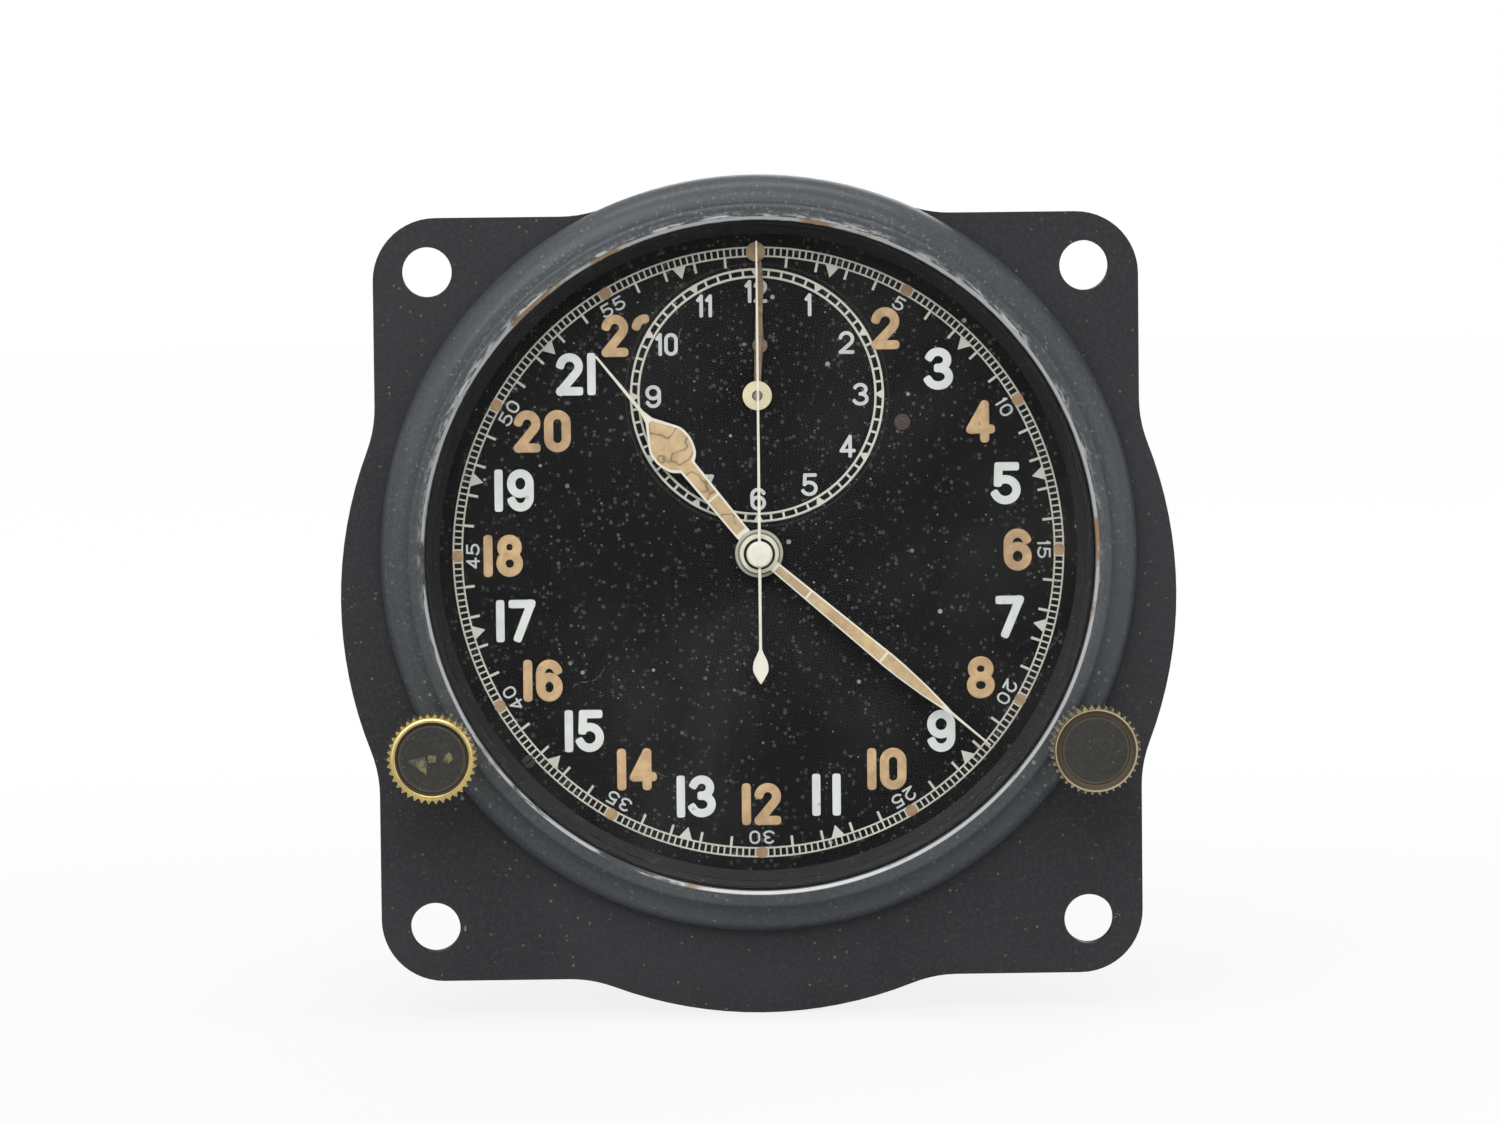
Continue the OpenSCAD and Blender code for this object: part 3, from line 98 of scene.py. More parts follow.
def shade(red, green, blue):
    """A linear colour from screen values of 0 to 255."""
    def linear(value):
        value /= 255
        return value / 12.92 if value <= 0.04045 else ((value + 0.055) / 1.055) ** 2.4
    return linear(red), linear(green), linear(blue)


def length(name, description, default):
    return bpy.props.FloatProperty(name=name, description=description, default=default, min=0, precision=6,
                                   unit="LENGTH")


def colour(name, description, default):
    return bpy.props.FloatVectorProperty(name=name, description=description, default=default, size=3, min=0, max=1,
                                         subtype="COLOR")


class ClockSizes(bpy.types.PropertyGroup):
    """Sizes of what is printed on the dial"""

    print_height: length("Print height", "How far the white print stands on the dial", 0.00003)
    lume_height: length("Lume height", "How far the luminous numerals stand on the dial", 0.0001)
    track_outer: length("Track outside", "Outer radius of the minute track", 0.02935)
    track_inner: length("Track inside", "Inner radius of the minute track", 0.02835)
    track_line: length("Track line", "Width of the lines of the minute track", 0.00016)
    tick_length: length("Minute tick", "Length of a minute tick inside the track", 0.00092)
    hour_height: length("Hour numerals", "Height of the hour numerals", 0.00405)
    hour_radius: length("Hour circle", "Radius at which the hour numerals stand", 0.0242)
    minute_height: length("Minute numerals", "Height of the minute numerals", 0.0013)
    minute_radius: length("Minute circle", "Radius at which the minute numerals stand", 0.0274)
    trip_outer: length("Small track outside", "Outer radius of the small dial's track", 0.01218)
    trip_inner: length("Small track inside", "Inner radius of the small dial's track", 0.01125)
    trip_line: length("Small track line", "Width of the lines of the small dial's track", 0.00022)
    trip_height: length("Small numerals", "Height of the small dial's numerals", 0.00218)
    trip_radius: length("Small circle", "Radius at which the small dial's numerals stand", 0.00995)


class ClockColours(bpy.types.PropertyGroup):
    """Colours of the clock's finishes"""

    flange: colour("Flange paint", "Matt paint of the case and its flange", shade(50, 50, 53))
    bezel: colour("Bezel paint", "Satin paint of the bezel", shade(68, 72, 75))
    bare_metal: colour("Bare metal", "Metal under chipped paint", shade(168, 162, 150))
    dial: colour("Dial black", "Black of the dial", shade(17, 17, 18))
    surround: colour("Surround", "Grey of the sloping ring", shade(46, 45, 47))
    print: colour("Print", "White of the hour numerals", shade(205, 209, 205))
    fine_print: colour("Fine print", "Greyer white of the tracks", shade(196, 194, 182))
    lume: colour("Numeral lume", "Tan of the luminous numerals", shade(189, 160, 121))
    hand_lume: colour("Hand lume", "Paler tan of the luminous hands", shade(187, 163, 125))
    old_lume: colour("Old lume", "Brown of the darkest luminous paint", shade(128, 108, 88))
    hand: colour("Hand paint", "White of the hands", shade(212, 209, 195))
    gilt: colour("Gilt", "Bright gilt of the winding knob", shade(240, 216, 146))
    dull_gilt: colour("Dull gilt", "Worn gilt of the push knob", shade(232, 221, 182))
    knob_face: colour("Knob face", "Dark disc in a knob", shade(55, 54, 51))


def linked(name, data):
    """A new object of the scene."""
    made = bpy.data.objects.new(name, data)
    bpy.context.scene.collection.objects.link(made)
    return made


def place(piece, body, slot, *replaced):
    """Lets a piece ride a body and hides the CAD nodes it stands for; its finish slot is not used."""
    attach(piece, body)
    if replaced:
        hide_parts(*replaced)
    return piece


# Shapes are drawn in millimetres, x right, y up and z towards the viewer, about an axis of the clock.
class Shape:
    """Closed solids that become one mesh; what adds a solid returns the shape."""

    def __init__(self):
        self.points = []
        self.faces = []

    def skin(self, rings, closed=False, flip=False):
        """A solid through rings of equal count: closed joins the last to the first, else both ends are capped."""
        first, count = len(self.points), len(rings[0])
        for ring in rings:
            self.points += ring
        for k in range(len(rings) if closed else len(rings) - 1):
            base, after = first + k * count, first + (k + 1) % len(rings) * count
            for i in range(count):
                j = (i + 1) % count
                quad = (base + i, base + j, after + j, after + i)
                self.faces.append((quad[0], *quad[:0:-1]) if flip else quad)
        if not closed:
            low, high = tuple(range(first, first + count)), tuple(range(len(self.points) - count, len(self.points)))
            self.faces += [low, high[::-1]] if flip else [low[::-1], high]
        return self

    def stack(self, outlines, levels):
        """A solid through outlines of equal count, each counter-clockwise, at rising levels."""
        return self.skin([[(p[0], p[1], level) for p in outline] for outline, level in zip(outlines, levels)])

    def hollow(self, outers, inners, levels):
        """A ring-like solid between outer and inner outlines of equal count."""
        rings = list(zip(outers, levels)) + list(zip(reversed(inners), reversed(levels)))
        return self.skin([[(p[0], p[1], level) for p in outline] for outline, level in rings], closed=True)

    def lathe(self, profile, centre=(0, 0), steps=64):
        """A turned solid from a closed profile of (radius, level), counter-clockwise seen with the axis at the left."""
        turns = [2 * math.pi * s / steps for s in range(steps)]
        return self.skin([[(centre[0] + r * math.cos(a), centre[1] + r * math.sin(a), z) for r, z in profile]
                          for a in turns], closed=True, flip=True)

    def stroke(self, path, closed, section, square):
        """A raised line along a smooth path, with section as (half width, level) from low to high."""
        levels = [level for _, level in section]
        if closed:
            return self.hollow([beside(path, -half, True) for half, _ in section],
                               [beside(path, half, True) for half, _ in section], levels)
        return self.stack([round_strip(path, half, square) for half, _ in section], levels)

    def plate(self, half, low, high):
        """A thin plate with eased upper edges from the right half of its outline."""
        outline, inner = mirrored(half), mirrored([(max(x - PLATE_EASE, PLATE_LEAST), y) for x, y in half])
        return self.stack([outline, outline, inner], [low, high - PLATE_EASE, high])

    def boss(self, inner, outer, low, high, lip=0.12):
        """A turned boss with a rounded rim."""
        return self.lathe([(inner, low), (outer, low), (outer, high - lip), (outer - lip * 0.3, high - lip * 0.3),
                           (outer - lip, high), (inner, high)])

    def put(self, name, finish, axis, body, slot, *replaced, turn=0.0):
        """Makes the piece, its points turned clockwise about the axis, and places it."""
        c, s = math.cos(turn), math.sin(turn)
        placed = [(axis.x + (x * c + y * s) * MM, -z * MM, axis.z + (y * c - x * s) * MM) for x, y, z in self.points]
        mesh = bpy.data.meshes.new(name)
        mesh.from_pydata(placed, [], self.faces)
        mesh.validate()
        mesh.materials.append(finish.material)
        return place(linked(name, mesh), body, slot, *replaced)


def beside(path, distance, closed):
    """The points of a path moved to its left."""
    moved = []
    for i, p in enumerate(path):
        before = path[i - 1] if i or closed else p
        after = path[(i + 1) % len(path)] if i < len(path) - 1 or closed else p
        way = (after - before).normalized()
        moved.append(p + Vector((-way.y, way.x)) * distance)
    return moved


def round_strip(path, half, square):
    """The outline of a line of a given half width; square of 1 gives round ends and less gives squarer ones."""
    def end(p, way):
        side = Vector((-way.y, way.x))
        points = []
        for k in range(1, 8):
            a = math.radians(-90 + 180 * k / 8)
            across = math.copysign(abs(math.sin(a)) ** square, math.sin(a))
            points.append(p + (way * math.cos(a) ** square + side * across) * half)
        return points

    first, last = (path[1] - path[0]).normalized(), (path[-1] - path[-2]).normalized()
    return (beside(path, -half, False) + end(path[-1], last)
            + beside(path, half, False)[::-1] + end(path[0], -first))


def mirrored(half):
    """A whole outline, counter-clockwise, from its right half given from low to high."""
    return [Vector(p) for p in half] + [Vector((-x, y)) for x, y in reversed(half)]


def smooth_half(points, steps=6):
    """A smooth right half of an outline through the points."""
    made = []
    ends = [points[0], *points, points[-1]]
    for a, b, c, d in zip(ends, ends[1:], ends[2:], ends[3:]):
        for k in range(steps):
            t = k / steps
            made.append(tuple(0.5 * (2 * b[i] + (c[i] - a[i]) * t + (2 * a[i] - 5 * b[i] + 4 * c[i] - d[i]) * t * t
                                     + (3 * b[i] - a[i] - 3 * c[i] + d[i]) * t ** 3) for i in (0, 1)))
    return made + [points[-1]]


def arc(x, y, rx, ry, start, stop, steps=14):
    """Points of an elliptic arc, in degrees from the right."""
    angles = [math.radians(start + (stop - start) * k / steps) for k in range(steps + 1)]
    return [Vector((x + rx * math.cos(a), y + ry * math.sin(a))) for a in angles]


def polar(radius, turn):
    """A point by its radius and its angle clockwise from the top."""
    return Vector((radius * math.sin(turn), radius * math.cos(turn)))


def digit(sign, w, h):
    """Middle lines of a digit in a box of width w and height h, each with whether it closes on itself."""
    def line(*points):
        return [Vector((x * w, y * h)) for x, y in points], False

    def bow(x, y, rx, ry, start, stop, steps=14):
        return arc(x * w, y * h, rx * w, ry * h, start, stop, steps), False

    def loop(x, y, rx, ry):
        return bow(x, y, rx, ry, 0, 360 - 360 / 28, 27)[0], True

    r = w / 2
    if sign == "0":
        return [(arc(r, h - r, r, r, 0, 180) + arc(r, r, r, r, 180, 360), True)]
    if sign == "1":
        return [line((1, 0), (1, 1))] + ([line((0, 0.8), (1, 1))] if w > 0.1 else [])
    if sign == "2":
        return [(arc(r, h - r, r, r, 168, -42) + [Vector((0, 0))], False), line((0, 0), (1, 0))]
    if sign == "3":
        return [bow(0.46, 0.76, 0.46, 0.24, 158, -90), bow(0.46, 0.26, 0.54, 0.26, 90, -158)]
    if sign == "4":
        return [line((0.72, 0), (0.72, 1)), line((0.72, 1), (0, 0.27)), line((0, 0.27), (1.03, 0.27))]
    if sign == "5":
        return [line((0.1, 1), (0.93, 1)), line((0.1, 1), (0.06, 0.52)), bow(0.44, 0.31, 0.56, 0.31, 128, -155, 20)]
    if sign in "69":
        stem = line((0, 0.3), (0, 0.5))[0] + arc(r, h - 0.3 * h, r, 0.3 * h, 180, 22)
        paths = [loop(0.5, 0.3, 0.5, 0.3), (stem, False)]
        if sign == "9":
            paths = [([Vector((w - p.x, h - p.y)) for p in path], closed) for path, closed in paths]
        return paths
    if sign == "7":
        return [line((0, 1), (1, 1)), line((1, 1), (0.28, 0))]
    if sign == "8":
        return [loop(0.5, 0.76, 0.44, 0.24), loop(0.5, 0.265, 0.5, 0.265)]
    raise ValueError("no such digit: " + sign)


def number(shape, text, centre, height, wide, stroke, gap, section, square, turn=0.0, flag=0.001, bare=None):
    """Adds a number about a centre, turned clockwise; flag is the width of a 1's flag, and a line stops at bare."""
    step = 0.006  # each further line of a digit stands a little higher, so that no two tops share a plane
    spans = [flag if sign == "1" else wide - stroke for sign in text]
    x = -(sum(spans) + len(text) * stroke + (len(text) - 1) * gap) / 2 + stroke / 2
    c, s = math.cos(turn), math.sin(turn)
    for sign, span in zip(text, spans):
        for k, (path, closed) in enumerate(digit(sign, span, height - stroke)):
            local = [Vector((p.x + x, p.y - (height - stroke) / 2)) for p in path]
            placed = [Vector((centre[0] + p.x * c + p.y * s, centre[1] + p.y * c - p.x * s)) for p in local]
            while bare and placed and bare(placed[-1]):
                placed.pop()
            if len(placed) > 1:
                half, top = section[-1]
                shape.stroke(placed, closed, section[:-1] + [(half, top + step * k)], square)
        x += span + stroke + gap


FLOAT, VECTOR = "NodeSocketFloat", "NodeSocketVector"


class Value:
    """A node's output. Arithmetic and comparisons add nodes to its tree, and | takes the larger of two."""

    def __init__(self, socket):
        self.socket, self.tree = socket, socket.id_data

    def maths(self, operation, second=0.0, clamp=False):
        return node(self.tree, "ShaderNodeMath", {0: self, 1: second}, operation=operation, use_clamp=clamp)[0]

    __abs__ = partialmethod(maths, "ABSOLUTE")
    __add__ = partialmethod(maths, "ADD")
    __sub__ = partialmethod(maths, "SUBTRACT")
    __mul__ = partialmethod(maths, "MULTIPLY")
    __truediv__ = partialmethod(maths, "DIVIDE")
    __mod__ = partialmethod(maths, "MODULO")
    __pow__ = partialmethod(maths, "POWER")
    __lt__ = partialmethod(maths, "LESS_THAN")
    __gt__ = partialmethod(maths, "GREATER_THAN")
    __or__ = partialmethod(maths, "MAXIMUM")

    def rest(self):
        """What is left up to 1, and never less than 0."""
        return node(self.tree, "ShaderNodeMath", {0: 1.0, 1: self}, operation="SUBTRACT", use_clamp=True)[0]

    def vector(self, operation, second=(0.0, 0.0, 0.0)):
        made = node(self.tree, "ShaderNodeVectorMath", {0: self, 1: second}, operation=operation)
        return made["Value" if operation == "LENGTH" else "Vector"]

    def span(self, low, high, to_low=0.0, to_high=1.0):
        """Moved from one range to another with soft ends."""
        return node(self.tree, "ShaderNodeMapRange", {"Value": self, "From Min": low, "From Max": high,
                                                      "To Min": to_low, "To Max": to_high},
                    interpolation_type="SMOOTHSTEP")[0]

    def level(self, first, second):
        """A number between two, by this mask."""
        return node(self.tree, "ShaderNodeMix", {0: self, 2: first, 3: second}, data_type="FLOAT")[0]

    def mix(self, first, second):
        """A colour between two, by this mask."""
        first, second = (tone if isinstance(tone, Value) else (*tone, 1.0) for tone in (first, second))
        return node(self.tree, "ShaderNodeMix", {0: self, 6: first, 7: second}, data_type="RGBA")[2]


class Outputs:
    """A node's outputs, by name or number."""

    def __init__(self, made):
        self.sockets = made.outputs

    def __getitem__(self, key):
        return Value(self.sockets[key])


def feed(made, values):
    """Links or sets inputs of a node."""
    for name, value in values.items():
        if isinstance(value, Value):
            value.tree.links.new(value.socket, made.inputs[name])
        else:
            made.inputs[name].default_value = value


def node(tree, kind, values=None, **settings):
    """Adds a node with its settings and inputs, and gives its outputs."""
    made = tree.nodes.new(kind)
    for name, value in settings.items():
        setattr(made, name, value)
    feed(made, values or {})
    return Outputs(made)


def noise(where, scale, **values):
    return node(where.tree, "ShaderNodeTexNoise", {"Vector": where, "Scale": scale, **values})[0]


def shader_group(name, **inputs):
    """An empty shader group from a place and named values to a mask, and what comes into it."""
    tree = bpy.data.node_groups.new(name, "ShaderNodeTree")
    tree.interface.new_socket("Vector", in_out="INPUT", socket_type=VECTOR)
    for label, default in inputs.items():
        kind = FLOAT if isinstance(default, float) else VECTOR
        tree.interface.new_socket(label, in_out="INPUT", socket_type=kind).default_value = default
    tree.interface.new_socket("Mask", in_out="OUTPUT", socket_type=FLOAT)
    return tree, node(tree, "NodeGroupInput")


def make_dust_group():
    """Small specks of many sizes: some cells of a cell pattern hold one."""
    tree, into = shader_group("dust_specks", Scale=500.0, Size=0.25, Amount=0.4)
    cells = node(tree, "ShaderNodeTexVoronoi", {"Vector": into["Vector"], "Scale": into["Scale"], "Randomness": 1.0})
    chance = node(tree, "ShaderNodeSeparateColor", {0: cells["Color"]})
    radius = into["Size"] * chance[1] ** 1.6
    near = (cells["Distance"] / (radius + 0.02)).rest()
    strength = near.span(0.0, 0.3).maths("MULTIPLY", chance[2] + 0.25, clamp=True)
    node(tree, "NodeGroupOutput", {"Mask": (chance[0] < into["Amount"]) * strength})
    return tree


def make_cloud_group():
    """Soft uneven patches, from 0 to 1."""
    tree, into = shader_group("uneven_patches", Scale=80.0, Low=0.35, High=0.65)
    patches = noise(into["Vector"], into["Scale"], Detail=5.0, Roughness=0.6)
    node(tree, "NodeGroupOutput", {"Mask": patches.span(into["Low"], into["High"])})
    return tree


def make_line_group():
    """Thin wandering lines, such as lint, scratches and cracks, in broken lengths."""
    tree, into = shader_group("thin_lines", Scale=120.0, Width=0.012, Breaks=0.58)
    off = abs(noise(into["Vector"], into["Scale"], Detail=1.5) - 0.5)
    line = (off / into["Width"]).rest()
    parts = noise(into["Vector"].vector("ADD", (0.37, 0.11, 0.53)), into["Scale"] * 1.4)
    node(tree, "NodeGroupOutput", {"Mask": line * (parts > into["Breaks"])})
    return tree


def make_ring_group():
    """A soft-edged ring about an axis along Y."""
    tree, into = shader_group("ring_about_axis", Axis=(0.0, 0.0, 0.0), Inside=0.03, Outside=0.031, Softness=0.0002)
    away = into["Vector"].vector("SUBTRACT", into["Axis"])
    radius = away.vector("MULTIPLY", (1.0, 0.0, 1.0)).vector("LENGTH")
    rise = radius.span(into["Inside"] - into["Softness"], into["Inside"])
    fall = radius.span(into["Outside"], into["Outside"] + into["Softness"], 1.0, 0.0)
    node(tree, "NodeGroupOutput", {"Mask": rise * fall})
    return tree


class Finish:
    """A material with a Principled shader, and the shared groups it can place."""

    groups = {}

    def __init__(self, name, **values):
        self.material = bpy.data.materials.new(name)
        self.material.use_nodes = True
        self.tree = self.material.node_tree
        self.shader = self.tree.nodes["Principled BSDF"]
        self.where = node(self.tree, "ShaderNodeTexCoord")["Object"]
        self.set(**values)

    def set(self, **values):
        """Sets or links inputs of the shader, named in small letters."""
        feed(self.shader, {label.replace("_", " ").title().replace("Ior", "IOR"): value
                           for label, value in values.items()})

    def group(self, maker, **values):
        """Places a shared group, built the first time it is asked for, and gives its mask."""
        if maker not in self.groups:
            self.groups[maker] = maker()
        return node(self.tree, "ShaderNodeGroup", {"Vector": self.where, **values}, node_tree=self.groups[maker])[0]

    dust = partialmethod(group, make_dust_group)
    clouds = partialmethod(group, make_cloud_group)
    lines = partialmethod(group, make_line_group)

    def ring(self, axis, inside, outside, softness=0.0002):
        return self.group(make_ring_group, Axis=tuple(axis), Inside=inside, Outside=outside, Softness=softness)

    def along(self, axis, stretch):
        """Places counted round an axis and out from it, drawn out along the way round."""
        away = self.where.vector("SUBTRACT", tuple(axis))
        parts = node(self.tree, "ShaderNodeSeparateXYZ", {0: away})
        way = parts[0].maths("ARCTAN2", parts[2]) * (LIP_RADIUS * stretch)
        return node(self.tree, "ShaderNodeCombineXYZ", {0: way, 1: away.vector("LENGTH"), 2: parts[1]})[0]

    def coordinate(self, index):
        """One coordinate of the place on the surface."""
        return node(self.tree, "ShaderNodeSeparateXYZ", {0: self.where})[index]

    def bump(self, height, distance, strength):
        self.set(normal=node(self.tree, "ShaderNodeBump", {"Height": height, "Distance": distance,
                                                           "Strength": strength})[0])

    def cover(self, mask, shader):
        """Puts another shader over the first one, by a mask."""
        mixed = node(self.tree, "ShaderNodeMixShader", {0: mask, 1: Value(self.shader.outputs[0]), 2: shader[0]})
        feed(self.tree.nodes["Material Output"], {"Surface": mixed[0]})


def scaled(linear, factor):
    return tuple(min(1.0, part * factor) for part in linear)


def paint(name, base, rough, dusty=0.5, grainy=0.5):
    """Old matt paint: uneven tone, dust and fine grain."""
    made = Finish(name, specular_ior_level=0.2)
    tone = made.clouds(Scale=45.0).mix(scaled(base, 0.86), scaled(base, 1.12))
    grain = made.clouds(Scale=2600.0, Low=0.42, High=0.72)
    dust = made.dust(Scale=1900.0, Size=0.36, Amount=dusty) | made.dust(Scale=420.0, Size=0.11, Amount=0.05)
    made.colour = (dust * 0.3).mix((grain * grainy).mix(tone, scaled(base, 1.7)), shade(160, 160, 158))
    made.rough = made.clouds(Scale=90.0).span(0, 1, rough - 0.07, rough + 0.07)
    made.set(base_color=made.colour, roughness=made.rough)
    made.bump(grain, 0.00003, 0.35)
    return made


def knob_dust(made):
    """Light specks in the corners round the knobs, on the front only."""
    winding, push = (made.ring(axis, 0.0, 0.0052, 0.0045) for axis in (WINDING_AXIS, PUSH_AXIS))
    near = (winding | push) * made.coordinate(1).span(-0.0005, 0.0005, 1.0, 0.0)
    specks = made.dust(Scale=2300.0, Size=0.5, Amount=0.4) | made.dust(Scale=1000.0, Size=0.2, Amount=0.35)
    made.colour = (near * specks * 0.5).mix(made.colour, shade(168, 172, 170))
    made.set(base_color=made.colour)


def metal(name, base, rough, scale=160.0, dark=0.55):
    """Metal with uneven tarnish and fine turning marks."""
    made = Finish(name, metallic=1.0)
    tarnish = made.clouds(Scale=scale)
    made.colour = tarnish.mix(base, scaled(base, dark))
    made.set(base_color=made.colour, roughness=tarnish.span(0, 1, rough, min(1, rough + 0.2)))
    made.bump(noise(made.where, 3000.0, Detail=3.0), 0.00002, 0.25)
    return made


def print_paint(name, base):
    """Printed paint, thin and a little worn."""
    made = Finish(name, specular_ior_level=0.2)
    worn = made.dust(Scale=900.0, Size=0.2, Amount=0.3) | made.clouds(Scale=300.0) * 0.35
    made.set(base_color=worn.mix(base, scaled(base, 0.66)), roughness=worn.span(0, 1, 0.55, 0.75))
    return made


def lume_paint(name, base, deep, cracks):
    """Luminous paint: grainy, stained and cracked."""
    made = Finish(name, specular_ior_level=0.2)
    stain = made.clouds(Scale=340.0, Low=0.4, High=0.75)
    tone = made.clouds(Scale=900.0).mix(scaled(base, 0.9), scaled(base, 1.1))
    crack = made.lines(Scale=520.0, Width=0.04, Breaks=0.38) * cracks
    made.set(base_color=crack.mix((stain * 0.6).mix(tone, scaled(deep, 1.15)), scaled(deep, 0.55)),
             roughness=stain.span(0, 1, 0.75, 0.9))
    made.bump(noise(made.where, 5200.0, Detail=3.0), 0.00005, 0.4)
    return made


def dress(finish, *names):
    """Gives CAD nodes a finish."""
    for name in names:
        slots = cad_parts[name].data.materials
        slots.clear()
        slots.append(finish.material)


class ClockOperator:
    """What the clock's operators share."""

    bl_options = {"REGISTER", "UNDO"}

    def execute(self, context):
        self.make(context.scene.clock_sizes, context.scene.clock_colours)
        return {"FINISHED"}


class CLOCK_OT_case(ClockOperator, bpy.types.Operator):
    """Paint the case with its flange and finish the back"""

    bl_idname = "clock.finish_case"
    bl_label = "Case and back"

    def make(self, sizes, colours):
        case = paint("flange_paint", colours.flange, 0.55)
        knob_dust(case)
        # Bare metal shows in chips along the flange's straight edges and round its holes.
        reach = abs(case.coordinate(0)) | abs(case.coordinate(2))
        chips = reach.span(0.0362, 0.0366) * case.clouds(Scale=520.0, Low=0.68, High=0.71)
        rims = [case.ring((x * HOLE_OUT, 0, z * HOLE_OUT), 0.00236, 0.0028) for x in (-1, 1) for z in (-1, 1)]
        worn = (rims[0] | rims[1] | rims[2] | rims[3]) * case.clouds(Scale=620.0, Low=0.66, High=0.7)
        bare = chips | worn
        case.set(base_color=bare.mix(case.colour, colours.bare_metal), metallic=bare,
                 roughness=bare.level(case.rough, 0.35))
        dress(case, "case_body", "back_cover")
        dress(metal("blued_screw", shade(70, 72, 80), 0.35), "back_screws")
        dress(paint("gasket_rubber", shade(38, 37, 36), 0.8, 0.2), "back_gasket", "glass_gasket")
        dress(metal("bush_steel", shade(150, 148, 142), 0.35), "stem_bushes")


class CLOCK_OT_bezel(ClockOperator, bpy.types.Operator):
    """Finish the bezel with its worn lip"""

    bl_idname = "clock.finish_bezel"
    bl_label = "Bezel"

    def make(self, sizes, colours):
        bezel = paint("bezel_paint", colours.bezel, 0.4, 0.6)
        knob_dust(bezel)
        top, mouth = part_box("bezel")[0][1], 0.03199
        front = bezel.coordinate(1).span(top + 0.0005, top + 0.0006, 1.0, 0.0)
        upper = bezel.coordinate(2).span(-0.012, 0.03)
        along = bezel.along(DIAL_AXIS, 0.22)

        def streaks(scale, low, high):
            return bezel.clouds(Vector=along, Scale=scale, Low=low, High=high)

        clumps = upper * bezel.clouds(Scale=240.0, Low=0.38, High=0.56)
        corner = bezel.ring(DIAL_AXIS, mouth, 0.03222, 0.00006) * streaks(500.0, 0.4, 0.46)
        jagged = bezel.ring(DIAL_AXIS, 0.0322, 0.0324, 0.00012) * streaks(1300.0, 0.5, 0.56)
        edge = front * (corner | jagged * clumps)
        lip = front * clumps * bezel.ring(DIAL_AXIS, 0.03215, 0.0323, 0.0007)
        scuff = lip * (streaks(4300.0, 0.45, 0.62) | bezel.dust(Scale=3400.0, Size=0.55, Amount=0.75))
        # Light grain on the crest beside the lip, only towards the top: wear grain, made lighter at the top as a
        # painted highlight of the light from above.
        band = upper * bezel.ring(DIAL_AXIS, 0.0328, 0.034, 0.0006) * bezel.clouds(Scale=2600.0, Low=0.6, High=0.7)
        rust = front * bezel.ring(DIAL_AXIS, mouth, 0.03224, 0.0001) * bezel.clouds(Scale=95.0, Low=0.56, High=0.62)
        # The lip's light edge is wear down to bare metal, but it is laid as light grey colour with little metallic:
        # partly real wear, partly a painted highlight of the edge's glint.
        bare = rust.mix(shade(196, 198, 198), shade(160, 128, 92))
        # worn lightens the bezel with the lip's scuffs and that crest grain, so it is partly a painted highlight.
        worn = (scuff * 0.75 | band * 0.3).mix(bezel.colour, shade(200, 203, 202))
        bezel.set(base_color=edge.mix(worn, bare), metallic=edge * rust.span(0, 1, 0.25, 0),
                  roughness=edge.span(0, 1, 0.42, 0.4), specular_ior_level=0.35, coat_weight=0.12)
        dress(bezel, "bezel")


class CLOCK_OT_glass(ClockOperator, bpy.types.Operator):
    """Make the glass clear"""

    bl_idname = "clock.finish_glass"
    bl_label = "Glass"

    def make(self, sizes, colours):
        glass = Finish("clear_glass", roughness=0.02, ior=1.12, transmission_weight=1.0)
        haze = glass.dust(Scale=420.0, Size=0.12, Amount=0.15)
        glass.set(base_color=haze.mix((1, 1, 1), (0.86, 0.86, 0.84)))
        path = node(glass.tree, "ShaderNodeLightPath")
        glass.cover(path["Is Shadow Ray"], node(glass.tree, "ShaderNodeBsdfTransparent"))
        dress(glass, "glass")


